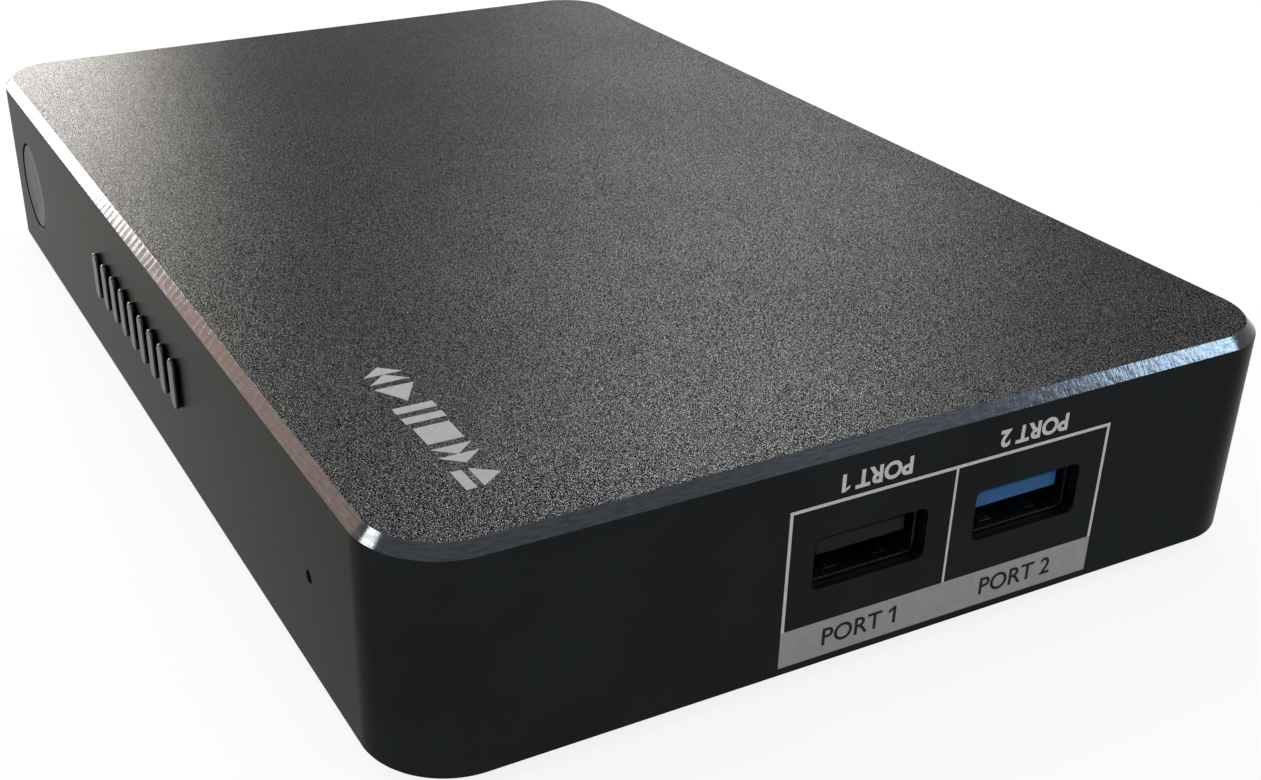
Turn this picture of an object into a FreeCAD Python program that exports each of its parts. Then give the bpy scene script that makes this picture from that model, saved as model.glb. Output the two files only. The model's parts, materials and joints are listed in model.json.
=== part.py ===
"""Compact media player with a sliding tray for a 2.5 inch drive.

A one-piece aluminium case (roof and four walls) stands on four feet and is closed from
below by a plastic base.  The front wall carries the power button, the raised badge and the
status light, the right wall two USB sockets, the rear wall the other sockets, and the left
wall the slot of the drive tray.

Frame: +Z up, +X to the right seen from the front, the front faces -Y.  The origin is on the
surface that the feet stand on, under the middle of the case.  Lengths are in millimetres.
"""

import FreeCAD
import Part
import Sketcher
import math
import os
import re

SIZES = {
    # case
    "corner_radius": 9,
    "edge_chamfer": 1.2,
    "wall_thick": 2,
    "roof_thick": 2,
    "lift": 2,
    # base, its vents, the feet and the case screws
    "base_thick": 2,
    "base_recess": 0.4,
    "base_gap": 0.15,
    "vent_width": 1.6,
    "vent_length": 22,
    "vent_pitch": 4,
    "foot_radius": 5,
    "foot_inset_x": 19,
    "foot_inset_y": 14,
    "boss_radius": 3.6,
    "boss_inset": 6.5,
    "screw_radius": 1.2,
    "screw_head_radius": 2.3,
    "screw_head_height": 1.3,
    "screw_depth": 8,
    "screw_play": 0.05,
    "head_play": 0.15,
    "part_gap": 0.1,
    # front: power button, badge, status light
    "button_inset": 20.2,
    "button_height": 11.5,
    "button_radius": 6.3,
    "button_play": 0.3,
    "button_sink": 0.15,
    "button_dish": 0.35,
    "button_flange": 1,
    "button_flange_thick": 0.8,
    "button_travel": 0.5,
    "plunger_radius": 1.75,
    "switch_side": 6.2,
    "switch_thick": 3.5,
    "panel_board_length": 17,
    "panel_board_width": 14,
    "panel_board_thick": 1.2,
    "ribbon_width": 4,
    "ribbon_thick": 0.4,
    "badge_length": 38.2,
    "badge_height": 6.4,
    "badge_raise": 0.6,
    "badge_bar": 2.3,
    "badge_level": 12.8,
    "badge_shift": 1.7,
    "light_inset": 21.1,
    "light_height": 11.9,
    "light_radius": 0.7,
    # main board: its full-depth half on the right and the strip behind the drive
    "board_length": 53.25,
    "board_thick": 1.6,
    "board_gap": 0.6,
    "strip_depth": 15.8,
    "strip_gap": 0.825,
    "spreader_gap": 2,
    # USB sockets in the right wall
    "port_height": 12.2,
    "port_pitch": 20,
    "port_shift": 2.2,
    "port_play_beside": 0.35,
    "port_play_above": 0.15,
    "port_play_corner": 0.3,
    "port_shell_reach": 0.6,
    "usb_outer_width": 13.1,
    "usb_outer_height": 5.7,
    "usb_shell_depth": 14,
    "usb_sheet": 0.3,
    "usb_bend": 0.2,
    "tongue_width": 11.1,
    "tongue_thick": 1.9,
    "tongue_drop": 0.95,
    "tongue_sink": 0.4,
    # rear sockets
    "power_inset": 20,
    "network_inset": 38,
    "screen_inset": 60,
    "optical_inset": 79,
    "remote_inset": 94,
    "network_height": 13.2,
    "head_room": 0.45,
    # drive tray
    "front_room": 10.025,
    "bezel_side_lip": 1.275,
    "bezel_low_lip": 0.95,
    "bezel_high_lip": 1.15,
    "bezel_thick": 5,
    "bezel_play": 0.3,
    "bezel_round": 1.5,
    "tray_wall": 1.6,
    "tray_floor": 1.2,
    "tray_front": 1.2,
    "tray_play": 0.35,
    "cage_sheet": 0.8,
    "handle_length": 50,
    "handle_width": 7.6,
    "handle_thick": 2.6,
    "handle_play": 0.4,
    "handle_sink": 0.3,
    "pin_radius": 0.7,
    "pin_play": 0.05,
    "lock_travel": 2.5,
    # drive
    "drive_length": 100.35,
    "drive_width": 69.85,
    "drive_height": 9.5,
    "drive_play": 0.2,
    "plug_level": 3.5,
    "plug_shift": 8,
    "plug_width": 42,
    "plug_height": 5,
    "plug_depth": 5,
    "socket_depth": 8,
    "drive_screw_near": 14,
    "drive_screw_far": 9.75,
    "drive_screw_level": 3,
}

# Sizes that follow from the others: the case fits round the bay, the board and its tallest socket.
DERIVED = {
    "tray_width": "(drive_width + 2 * drive_play + 2 * tray_wall)",
    "cage_width": "(tray_width + 2 * tray_play + 2 * cage_sheet)",
    "bezel_width": "(tray_width + 2 * bezel_side_lip)",
    "bezel_height": "(bezel_low_lip + tray_floor + drive_height + bezel_high_lip)",
    "bay_length": "(bezel_thick + tray_front + 2 * drive_play + drive_length)",
    "case_length": "(bay_length + 3 * board_gap + board_length + wall_thick)",
    "case_depth": "(2 * wall_thick + front_room + cage_width + strip_gap + strip_depth + board_gap)",
    "button_x": "(case_length / 2 - button_inset)",
    "light_x": "(case_length / 2 - light_inset)",
    "power_x": "(case_length / 2 - power_inset)",
    "network_x": "(case_length / 2 - network_inset)",
    "screen_x": "(case_length / 2 - screen_inset)",
    "optical_x": "(case_length / 2 - optical_inset)",
    "remote_x": "(case_length / 2 - remote_inset)",
    "board_level": "(port_height - usb_outer_height / 2)",
    "case_height": "(board_level + network_height + head_room + roof_thick)",
}

doc = FreeCAD.newDocument("media_player")
sheet = doc.addObject("Spreadsheet::Sheet", "sizes")
for row, (name, number) in enumerate(SIZES.items(), start=1):
    sheet.set(f"A{row}", name)
    sheet.set(f"B{row}", str(number))
    sheet.setAlias(f"B{row}", name)
working = doc.addObject("Spreadsheet::Sheet", "working")
doc.recompute()

# Levels and planes that several pieces share, as formulas of the sizes.
TOP = "(lift + case_height)"
CEILING = "(lift + case_height - roof_thick)"
BASE_LOW = "(lift + base_recess)"
BASE_TOP = "(lift + base_recess + base_thick)"
INNER_X = "(case_length / 2 - wall_thick)"
INNER_Y = "(case_depth / 2 - wall_thick)"
FRONT = "(-case_depth / 2)"
REAR = "(case_depth / 2)"
BOSS_X = "(case_length / 2 - boss_inset)"
BOSS_Y = "(case_depth / 2 - boss_inset)"
BUTTON_Z = "(lift + button_height)"
LIGHT_Z = "(lift + light_height)"
PORT_Z = "(lift + port_height)"
BOARD_TOP = "(lift + board_level)"
BOARD_LOW = f"({BOARD_TOP} - board_thick)"
DRIVE_LOW = f"({BOARD_TOP} + plug_height / 2 - plug_level)"
DRIVE_TOP = f"({DRIVE_LOW} + drive_height)"
TRAY_LOW = f"({DRIVE_LOW} - tray_floor)"
BEZEL_FACE = "(-case_length / 2)"
BEZEL_BACK = "(-case_length / 2 + bezel_thick)"
DRIVE_FRONT = f"({BEZEL_BACK} + tray_front + 2 * drive_play)"
DRIVE_END = f"({DRIVE_FRONT} + drive_length)"
BAY_Y = f"(-{INNER_Y} + front_room + cage_width / 2)"
BAY_Z = f"({TRAY_LOW} - bezel_low_lip + bezel_height / 2)"
CAGE_LOW = f"({TRAY_LOW} - tray_play - cage_sheet)"
CAGE_TOP = f"({BAY_Z} + bezel_height / 2 + cage_sheet)"
CAGE_FRONT = f"({BEZEL_BACK} + 0.5)"
CAGE_END = f"({DRIVE_END} + drive_play)"
BOARD_LEFT = f"({DRIVE_END} + 2 * board_gap)"
BOARD_RIGHT = f"({INNER_X} - board_gap)"
BOARD_BACK = f"({INNER_Y} - board_gap)"
PLUG_Y = f"({BAY_Y} + plug_shift)"

PIECES = []


# ---------------------------------------------------------------- small helpers


def formula(text):
    """The formula with each size's name spelled out as its cell in the sheet."""
    while any(name in DERIVED for name in re.findall(r"[a-z_]+", text)):
        text = re.sub(r"[a-z_]+", lambda m: DERIVED.get(m[0], m[0]), text)
    return re.sub(r"[a-z_]+", lambda m: f"sizes.{m[0]}" if m[0] in SIZES else m[0], text)


def bind(thing, prop, text):
    thing.setExpression(prop, formula(str(text)))


def value(text):
    """The number that a formula gives, for what can't be bound to the sheet."""
    working.set("A1", "=" + formula(str(text)))
    working.recompute()
    return float(working.get("A1"))


def keep(thing, label):
    """Makes the object a sub-part, whose label names its file."""
    thing.Label = label
    PIECES.append(thing)
    return thing


def move(thing, x, y, z):
    for axis, text in zip("xyz", (x, y, z)):
        bind(thing, f"Placement.Base.{axis}", text)
    return thing


def block(length, width, height, x, y, z):
    """A box whose middle is at x and y and whose underside is at z."""
    made = doc.addObject("Part::Box", "block")
    bind(made, "Length", length)
    bind(made, "Width", width)
    bind(made, "Height", height)
    return move(made, f"{x} - ({length}) / 2", f"{y} - ({width}) / 2", z)


TURNS = {
    "+z": FreeCAD.Rotation(),
    "-z": FreeCAD.Rotation(FreeCAD.Vector(1, 0, 0), 180),
    "+x": FreeCAD.Rotation(FreeCAD.Vector(0, 1, 0), 90),
    "-x": FreeCAD.Rotation(FreeCAD.Vector(0, 1, 0), -90),
    "+y": FreeCAD.Rotation(FreeCAD.Vector(1, 0, 0), -90),
    "-y": FreeCAD.Rotation(FreeCAD.Vector(1, 0, 0), 90),
}


def rod(radius, length, x, y, z, way="+z"):
    """A cylinder that starts at x, y, z and runs the given way."""
    made = doc.addObject("Part::Cylinder", "rod")
    bind(made, "Radius", radius)
    bind(made, "Height", length)
    made.Placement = FreeCAD.Placement(FreeCAD.Vector(), TURNS[way])
    return move(made, x, y, z)


def hexagon(radius, length, x, y, z, way="+z"):
    made = doc.addObject("Part::Prism", "hexagon")
    made.Polygon = 6
    bind(made, "Circumradius", radius)
    bind(made, "Height", length)
    made.Placement = FreeCAD.Placement(FreeCAD.Vector(), TURNS[way])
    return move(made, x, y, z)


def fuse(*things):
    if len(things) == 1:
        return things[0]
    made = doc.addObject("Part::MultiFuse", "fuse")
    made.Shapes = list(things)
    made.Refine = True
    return made


def cut(base, *tools):
    made = doc.addObject("Part::Cut", "cut")
    made.Base = base
    made.Tool = fuse(*tools)
    return made


def group(*things):
    """Separate solids that share one node."""
    made = doc.addObject("Part::Compound", "group")
    made.Links = list(things)
    return made


def rounded(thing, radius, test):
    """Rounds the edges of a solid that pass the test."""
    doc.recompute()
    made = doc.addObject("Part::Fillet", "rounded")
    made.Base = thing
    edges = [i for i, edge in enumerate(thing.Shape.Edges, start=1) if test(edge)]
    made.Edges = [(i, value(radius), value(radius)) for i in edges]
    return made


def along(axis):
    """A test for straight edges that run along an axis."""
    way = {"x": FreeCAD.Vector(1, 0, 0), "y": FreeCAD.Vector(0, 1, 0), "z": FreeCAD.Vector(0, 0, 1)}[axis]

    def test(edge):
        if not isinstance(edge.Curve, Part.Line):
            return False
        return abs(abs(edge.Curve.Direction.dot(way)) - 1) < 1e-6

    return test


def at_level(axis, text):
    """A test for edges that lie in a plane square to an axis."""
    level = value(text)

    def test(edge):
        box = edge.BoundBox
        low, high = getattr(box, axis.upper() + "Min"), getattr(box, axis.upper() + "Max")
        return abs(low - level) < 1e-4 and abs(high - level) < 1e-4

    return test


# ---------------------------------------------------------------- PartDesign helpers


def new_body(label):
    made = doc.addObject("PartDesign::Body", label)
    return keep(made, label)


def new_sketch(owner, plane, level="0"):
    """A sketch on one of the body's origin planes, moved along the plane's normal."""
    made = owner.newObject("Sketcher::SketchObject", f"{owner.Label}_sketch")
    origin = next(f for f in owner.Origin.OriginFeatures if f.Role == f"{plane}_Plane")
    made.AttachmentSupport = [(origin, "")]
    made.MapMode = "FlatFace"
    bind(made, "AttachmentOffset.Base.z", level)
    return made


def pin_down(sketch, geometry, point, x, y):
    """Fixes a point of a sketch at the place that two formulas give."""
    for kind, text in (("DistanceX", x), ("DistanceY", y)):
        index = sketch.addConstraint(Sketcher.Constraint(kind, -1, 1, geometry, point, value(text)))
        sketch.setExpression(f"Constraints[{index}]", formula(text))


def draw_polygon(sketch, points):
    """A closed outline through points, each given by two formulas."""
    places = [FreeCAD.Vector(value(x), value(y), 0) for x, y in points]
    first = sketch.GeometryCount
    for start, end in zip(places, places[1:] + places[:1]):
        sketch.addGeometry(Part.LineSegment(start, end), False)
    last = sketch.GeometryCount - 1
    for line in range(first, last + 1):
        following = line + 1 if line < last else first
        sketch.addConstraint(Sketcher.Constraint("Coincident", line, 2, following, 1))
    for line, (x, y) in enumerate(points, start=first):
        pin_down(sketch, line, 1, x, y)


def draw_rectangle(sketch, x, y, length, width):
    """A rectangle around the middle x, y."""
    left, right = f"{x} - ({length}) / 2", f"{x} + ({length}) / 2"
    low, high = f"{y} - ({width}) / 2", f"{y} + ({width}) / 2"
    draw_polygon(sketch, [(left, low), (right, low), (right, high), (left, high)])


def draw_rounded(sketch, x, y, length, width, radius):
    """A rectangle around the middle x, y with rounded corners."""
    left, right = f"{x} - ({length}) / 2", f"{x} + ({length}) / 2"
    low, high = f"{y} - ({width}) / 2", f"{y} + ({width}) / 2"
    near, far = f"{left} + {radius}", f"{right} - ({radius})"
    lower, upper = f"{low} + {radius}", f"{high} - ({radius})"
    sides = [((near, low), (far, low)), ((right, lower), (right, upper)),
             ((far, high), (near, high)), ((left, upper), (left, lower))]
    centres = [(far, lower), (far, upper), (near, upper), (near, lower)]
    first = sketch.GeometryCount
    for start, end in sides:
        places = [FreeCAD.Vector(value(px), value(py), 0) for px, py in (start, end)]
        line = sketch.addGeometry(Part.LineSegment(*places), False)
        pin_down(sketch, line, 1, *start)
        pin_down(sketch, line, 2, *end)
    for turn, (px, py) in enumerate(centres):
        circle = Part.Circle(FreeCAD.Vector(value(px), value(py), 0), FreeCAD.Vector(0, 0, 1), value(radius))
        start = (turn - 1) * math.pi / 2
        arc = sketch.addGeometry(Part.ArcOfCircle(circle, start, start + math.pi / 2), False)
        sketch.addConstraint(Sketcher.Constraint("Coincident", first + turn, 2, arc, 1))
        sketch.addConstraint(Sketcher.Constraint("Coincident", arc, 2, first + (turn + 1) % 4, 1))
        bend = sketch.addConstraint(Sketcher.Constraint("Radius", arc, value(radius)))
        sketch.setExpression(f"Constraints[{bend}]", formula(radius))


def draw_circle(sketch, x, y, radius):
    centre = FreeCAD.Vector(value(x), value(y), 0)
    index = sketch.addGeometry(Part.Circle(centre, FreeCAD.Vector(0, 0, 1), value(radius)), False)
    pin_down(sketch, index, 3, x, y)
    ring = sketch.addConstraint(Sketcher.Constraint("Radius", index, value(radius)))
    sketch.setExpression(f"Constraints[{ring}]", formula(radius))


def extrude(owner, kind, sketch, length, backwards=False):
    """A Pad or a Pocket, which has to change the body's volume."""
    doc.recompute()
    before = owner.Shape.Volume if owner.Tip else 0
    made = owner.newObject(f"PartDesign::{kind}", f"{owner.Label}_{kind.lower()}")
    made.Profile = sketch
    made.Reversed = backwards
    bind(made, "Length", length)
    doc.recompute()
    change = owner.Shape.Volume - before
    if (change if kind == "Pad" else -change) < 1e-3:
        raise RuntimeError(f"{made.Label} of {owner.Label} changes nothing")
    return made


def dress(owner, kind, prop, size, test):
    """A Fillet or a Chamfer on the edges of the body that pass the test."""
    doc.recompute()
    base = owner.Tip
    names = [f"Edge{i}" for i, edge in enumerate(base.Shape.Edges, start=1) if test(edge)]
    made = owner.newObject(f"PartDesign::{kind}", f"{owner.Label}_{kind.lower()}")
    made.Base = (base, names)
    bind(made, prop, size)
    doc.recompute()
    return made


# ---------------------------------------------------------------- screws


def screw(x, y, z, way, depth="screw_depth", shank="screw_radius", head="screw_head_radius",
          head_height="screw_head_height"):
    """A pan-head screw with a hexagon socket.  x, y, z is under its head, way is where it drives."""
    back = {"+": "-", "-": "+"}[way[0]] + way[1]
    step = f"+ {head_height}" if back[0] == "+" else f"- {head_height}"
    face = {axis: text for axis, text in zip("xyz", (x, y, z))}
    face[way[1]] = f"{face[way[1]]} {step}"
    solid = fuse(rod(shank, depth, x, y, z, way), rod(head, head_height, x, y, z, back))
    socket = hexagon(f"{head} / 2", f"{head_height} * 0.6", face["x"], face["y"], face["z"], way)
    return cut(solid, socket)


# ---------------------------------------------------------------- case, base, feet


def corners(x, y):
    return [(f"{sx} * {x}", f"{sy} * {y}") for sx in (1, -1) for sy in (1, -1)]


BOSSES = corners(BOSS_X, BOSS_Y)
CAGE_SCREWS = [(x, f"{BAY_Y} + {side} * (cage_width / 2 - 7.9)")
               for x in (f"{CAGE_FRONT} + 20", f"{CAGE_END} - 12") for side in (-1, 1)]
BOARD_SCREWS = [
    (f"{BOARD_LEFT} + 5", f"-{BOARD_BACK} + 15.3"),
    (f"{BOARD_LEFT} + 4", f"{PLUG_Y} + plug_width / 2 + 3.5"),
    (f"{BOARD_RIGHT} - 14", f"-{BOSS_Y} + 1.5"),
    (f"{BOARD_RIGHT} - 5.4", f"{BOSS_Y} - 13"),
    (f"-{BOSS_X} + 9.5", f"{BOSS_Y}"),
]


def top_case():
    """Roof and walls in one piece, with the screw bosses and every opening of the walls."""
    case = new_body("top_case")
    outline = new_sketch(case, "XY", "lift")
    draw_rounded(outline, "0", "0", "case_length", "case_depth", "corner_radius")
    extrude(case, "Pad", outline, "case_height")
    dress(case, "Chamfer", "Size", "edge_chamfer", at_level("z", TOP))
    hollow = new_sketch(case, "XY", "lift")
    draw_rounded(hollow, "0", "0", f"2 * {INNER_X}", f"2 * {INNER_Y}", "(corner_radius - wall_thick)")
    extrude(case, "Pocket", hollow, f"{CEILING} - lift", backwards=True)
    bosses = new_sketch(case, "XY", BASE_TOP)
    for x, y in BOSSES:
        draw_circle(bosses, x, y, "boss_radius")
    extrude(case, "Pad", bosses, f"{CEILING} - {BASE_TOP}")
    bores = new_sketch(case, "XY", BASE_TOP)
    for x, y in BOSSES:
        draw_circle(bores, x, y, "screw_radius + screw_play")
    extrude(case, "Pocket", bores, "screw_depth", backwards=True)
    front = new_sketch(case, "XZ", "case_depth / 2")
    draw_circle(front, "-button_x", BUTTON_Z, "button_radius + button_play")
    draw_circle(front, "light_x", LIGHT_Z, "light_radius + screw_play")
    extrude(case, "Pocket", front, "wall_thick")
    right = new_sketch(case, "YZ", "case_length / 2")
    for y in PORTS.values():
        draw_rounded(right, y, PORT_Z, "usb_outer_width + 2 * port_play_beside",
                     "usb_outer_height + 2 * port_play_above", "(usb_sheet + usb_bend + port_play_corner)")
    extrude(case, "Pocket", right, "wall_thick")
    left = new_sketch(case, "YZ", "-case_length / 2")
    draw_rounded(left, BAY_Y, BAY_Z, "bezel_width + 2 * bezel_play", "bezel_height + 2 * bezel_play",
                 "(bezel_round + bezel_play)")
    extrude(case, "Pocket", left, "wall_thick", backwards=True)
    rear = new_sketch(case, "XZ", "-case_depth / 2")
    draw_circle(rear, "power_x", f"{BOARD_TOP} + 6.5", "4")
    draw_rounded(rear, "network_x", f"{BOARD_TOP} + 6.6", "14", "11", "0.5")
    draw_polygon(rear, screen_outline("0.4"))
    draw_rounded(rear, "optical_x", f"{BOARD_TOP} + 5", "8", "8", "0.5")
    draw_circle(rear, "remote_x", f"{BOARD_TOP} + 3", "3.1")
    extrude(case, "Pocket", rear, "wall_thick", backwards=True)


def base_cover():
    """Plastic base: vents, countersunk screw seats, and standoffs for the cage and the board."""
    base = new_body("base_cover")
    outline = new_sketch(base, "XY", BASE_LOW)
    draw_rounded(outline, "0", "0", f"2 * ({INNER_X} - base_gap)", f"2 * ({INNER_Y} - base_gap)",
                 "(corner_radius - wall_thick - base_gap)")
    extrude(base, "Pad", outline, "base_thick")
    short = new_sketch(base, "XY", BASE_TOP)
    for x, y in CAGE_SCREWS:
        draw_circle(short, x, y, "3")
    extrude(base, "Pad", short, f"{CAGE_LOW} - {BASE_TOP}")
    tall = new_sketch(base, "XY", BASE_TOP)
    for x, y in BOARD_SCREWS:
        draw_circle(tall, x, y, "3")
    extrude(base, "Pad", tall, f"{BOARD_LOW} - {BASE_TOP}")
    seats = new_sketch(base, "XY", BASE_LOW)
    for x, y in BOSSES + CAGE_SCREWS:
        draw_circle(seats, x, y, "screw_head_radius + head_play")
    extrude(base, "Pocket", seats, "screw_head_height", backwards=True)
    through = new_sketch(base, "XY", BASE_LOW)
    for x, y in BOSSES + CAGE_SCREWS:
        draw_circle(through, x, y, "screw_radius + screw_play")
    extrude(base, "Pocket", through, f"{CAGE_LOW} - {BASE_LOW}", backwards=True)
    bores = new_sketch(base, "XY", BOARD_LOW)
    for x, y in BOARD_SCREWS:
        draw_circle(bores, x, y, "screw_radius + screw_play")
    extrude(base, "Pocket", bores, f"{BOARD_LOW} - {BASE_TOP}")
    vents(base, f"{CAGE_FRONT} + 30", BAY_Y, 12)
    vents(base, f"{BOARD_RIGHT} - 43", "-8", 7)


def vents(base, x, y, count):
    slot = new_sketch(base, "XY", BASE_LOW)
    draw_rectangle(slot, x, y, "vent_width", "vent_length")
    first = extrude(base, "Pocket", slot, "base_thick", backwards=True)
    row = base.newObject("PartDesign::LinearPattern", "vent_row")
    row.Originals = [first]
    row.Direction = (slot, ["H_Axis"])
    row.Occurrences = count
    bind(row, "Length", f"vent_pitch * {count - 1}")
    base.Tip = row
    doc.recompute()


def rubber_feet():
    places = corners("(case_length / 2 - foot_inset_x)", "(case_depth / 2 - foot_inset_y)")
    feet = [rounded(rod("foot_radius", BASE_LOW, x, y, "0"), "0.5", at_level("z", "0")) for x, y in places]
    keep(group(*feet), "rubber_feet")


def case_screws():
    seat = f"{BASE_LOW} + screw_head_height"
    keep(group(*[screw(x, y, seat, "+z") for x, y in BOSSES]), "case_screws")


def badge_bars():
    """Nine raised bars in a row, glued to the front wall."""
    bars = []
    for n in range(9):
        x = f"-badge_shift + {n - 4} * (badge_length - badge_bar) / 8"
        level = f"lift + badge_level - badge_height / 2"
        bar = block("badge_bar", "badge_raise", "badge_height", x, f"{FRONT} - badge_raise / 2", level)
        bars.append(rounded(bar, "badge_bar / 2 - 0.05", along("y")))
    keep(group(*bars), "badge_bars")


# ---------------------------------------------------------------- power button and status light

CAP_FRONT = f"({FRONT} + button_sink)"
FLANGE_FRONT = f"(-{INNER_Y} + part_gap / 2)"
FLANGE_BACK = f"({FLANGE_FRONT} + button_flange_thick)"
STEM_END = f"({FLANGE_BACK} + 0.6)"
SWITCH_FRONT = f"({STEM_END} + 2 * button_travel)"
PANEL_FRONT = f"({SWITCH_FRONT} + switch_thick)"
PANEL_BACK = f"({PANEL_FRONT} + panel_board_thick)"


def power_button():
    """Round cap with a dished face, a flange behind the wall and a stem."""
    cap = rod("button_radius", f"{FLANGE_FRONT} - {CAP_FRONT}", "-button_x", CAP_FRONT, BUTTON_Z, "+y")
    cap = rounded(cap, "0.3", at_level("y", CAP_FRONT))
    dish = doc.addObject("Part::Sphere", "dish")
    reach = "(button_radius - 0.6)"
    bind(dish, "Radius", f"({reach} ^ 2 + button_dish ^ 2) / (2 * button_dish)")
    depth = f"({reach} ^ 2 + button_dish ^ 2) / (2 * button_dish)"
    move(dish, "-button_x", f"{CAP_FRONT} + button_dish - {depth}", BUTTON_Z)
    flange = rod("button_radius + button_flange", "button_flange_thick", "-button_x", FLANGE_FRONT,
                 BUTTON_Z, "+y")
    stem = rod("3", f"{STEM_END} - {FLANGE_BACK}", "-button_x", FLANGE_BACK, BUTTON_Z, "+y")
    keep(cut(fuse(cap, flange, stem), dish), "power_button")


def button_switch():
    """Press switch behind the button, its plunger and the small board that carries it."""
    keep(rod("plunger_radius", "2 * button_travel + 1.2", "-button_x", STEM_END, BUTTON_Z, "+y"),
         "switch_plunger")
    middle = f"({SWITCH_FRONT} + {PANEL_FRONT}) / 2"
    level = f"{BUTTON_Z} - switch_side / 2"
    housing = block("switch_side", "switch_thick", "switch_side", "-button_x", middle, level)
    well = rod("plunger_radius + button_play", "2 * button_travel + 1", "-button_x", SWITCH_FRONT, BUTTON_Z,
               "+y")
    keep(cut(housing, well), "button_switch")
    middle = f"({PANEL_FRONT} + {PANEL_BACK}) / 2"
    level = f"{BUTTON_Z} - panel_board_width / 2"
    board = block("panel_board_length", "panel_board_thick", "panel_board_width", "-button_x", middle, level)
    keep(board, "button_board")


def button_bracket():
    """Plastic U on the base that holds the switch board upright."""
    middle = f"({PANEL_FRONT} + {PANEL_BACK}) / 2"
    low = f"({BUTTON_Z} - panel_board_width / 2)"
    thick = "panel_board_thick + 1.6"
    frame = block("panel_board_length + 2", thick, f"{low} + 12 - {BASE_TOP}", "-button_x", middle, BASE_TOP)
    groove = block("panel_board_length + part_gap", "panel_board_thick + part_gap", "panel_board_width",
                   "-button_x", middle, low)
    window = block("panel_board_length - 3", "10", "panel_board_width", "-button_x", middle, f"{low} - 0.6")
    level = f"{BUTTON_Z} - ribbon_width / 2 - 0.2"
    notch = block("10", "2", "ribbon_width + 0.4", "-button_x + panel_board_length / 2",
                  f"{PANEL_BACK} + 1", level)
    keep(cut(frame, groove, window, notch), "button_bracket")


def button_ribbon():
    """Flat cable from the switch board to the plug on the main board."""
    length = f"(button_x + {BOARD_LEFT})"
    x = f"-button_x + 4 + {length} / 2"
    level = f"{BUTTON_Z} - ribbon_width / 2"
    keep(block(length, "ribbon_thick", "ribbon_width", x, f"{PANEL_BACK} + ribbon_thick / 2", level),
         "button_ribbon")
    high = f"{level} + ribbon_width + 0.5 - {BOARD_TOP}"
    plug = block("5", "4", high, f"{BOARD_LEFT} + 6.5", f"{PANEL_BACK} + ribbon_thick / 2", BOARD_TOP)
    keep(plug, "ribbon_plug")


def status_light():
    """Light pipe in the front wall and the lamp behind it."""
    back = f"(-{INNER_Y} + part_gap)"
    pipe = rod("light_radius", f"{back} - {FRONT} - 0.1", "light_x", f"{FRONT} + 0.1", LIGHT_Z, "+y")
    collar = rod("light_radius + 0.7", "0.7", "light_x", back, LIGHT_Z, "+y")
    keep(fuse(pipe, collar), "light_pipe")
    lamp = block("3", "2", f"{LIGHT_Z} + 1.2 - {BOARD_TOP}", "light_x", f"{back} + 0.8 + 1", BOARD_TOP)
    keep(lamp, "status_lamp")


# ---------------------------------------------------------------- main board and what it carries


def main_board():
    """L-shaped board: a full-depth half on the right and a strip behind the drive."""
    board = new_body("main_board")
    outline = new_sketch(board, "XY", BOARD_LOW)
    notch_x, notch_y = f"({BOSS_X} - boss_radius - board_gap)", f"({BOSS_Y} - boss_radius - board_gap)"
    strip = f"({BOARD_BACK} - strip_depth)"
    draw_polygon(outline, [
        (BOARD_LEFT, f"-{BOARD_BACK}"),
        (notch_x, f"-{BOARD_BACK}"),
        (notch_x, f"-{notch_y}"),
        (BOARD_RIGHT, f"-{notch_y}"),
        (BOARD_RIGHT, notch_y),
        (notch_x, notch_y),
        (notch_x, BOARD_BACK),
        (f"-{notch_x}", BOARD_BACK),
        (f"-{notch_x}", strip),
        (BOARD_LEFT, strip),
    ])
    extrude(board, "Pad", outline, "board_thick")
    holes = new_sketch(board, "XY", BOARD_LOW)
    for x, y in BOARD_SCREWS:
        draw_circle(holes, x, y, "screw_radius + screw_play")
    extrude(board, "Pocket", holes, "board_thick", backwards=True)


def board_screws():
    depth = f"board_thick + {BOARD_LOW} - {BASE_TOP} - 0.5"
    keep(group(*[screw(x, y, BOARD_TOP, "-z", depth) for x, y in BOARD_SCREWS]), "board_screws")


USB_FACE = f"({INNER_X} + port_shell_reach)"
SOCKET_FACE = f"({INNER_Y} - part_gap)"
PORTS = {"usb_two": "-port_shift", "usb_three": "(port_pitch - port_shift)"}
SOCKET_BACK = f"({DRIVE_END} + board_gap + socket_depth)"
ROOM = f"({USB_FACE} - usb_shell_depth - {SOCKET_BACK})"
CHIP_X, CHIP_Y = f"({SOCKET_BACK} + {ROOM} / 2)", f"(-{BOARD_BACK} + 39)"


def processor():
    """Main chip, its heat pad and the finned heat spreader."""
    keep(block("20", "20", "1.6", CHIP_X, CHIP_Y, BOARD_TOP), "main_chip")
    keep(block("18", "18", "0.8", CHIP_X, CHIP_Y, f"{BOARD_TOP} + 1.6"), "heat_pad")
    low = f"{BOARD_TOP} + 2.4"
    side = f"({ROOM} - 2 * spreader_gap)"
    plate = block(side, "28", "1.8", CHIP_X, CHIP_Y, low)
    fins = [block("1.2", "28", "6.5", f"{CHIP_X} + {n} * ({side} - 1.2) / 6", CHIP_Y,
                  low) for n in range(-3, 4)]
    keep(fuse(plate, *fins), "heat_spreader")


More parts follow.
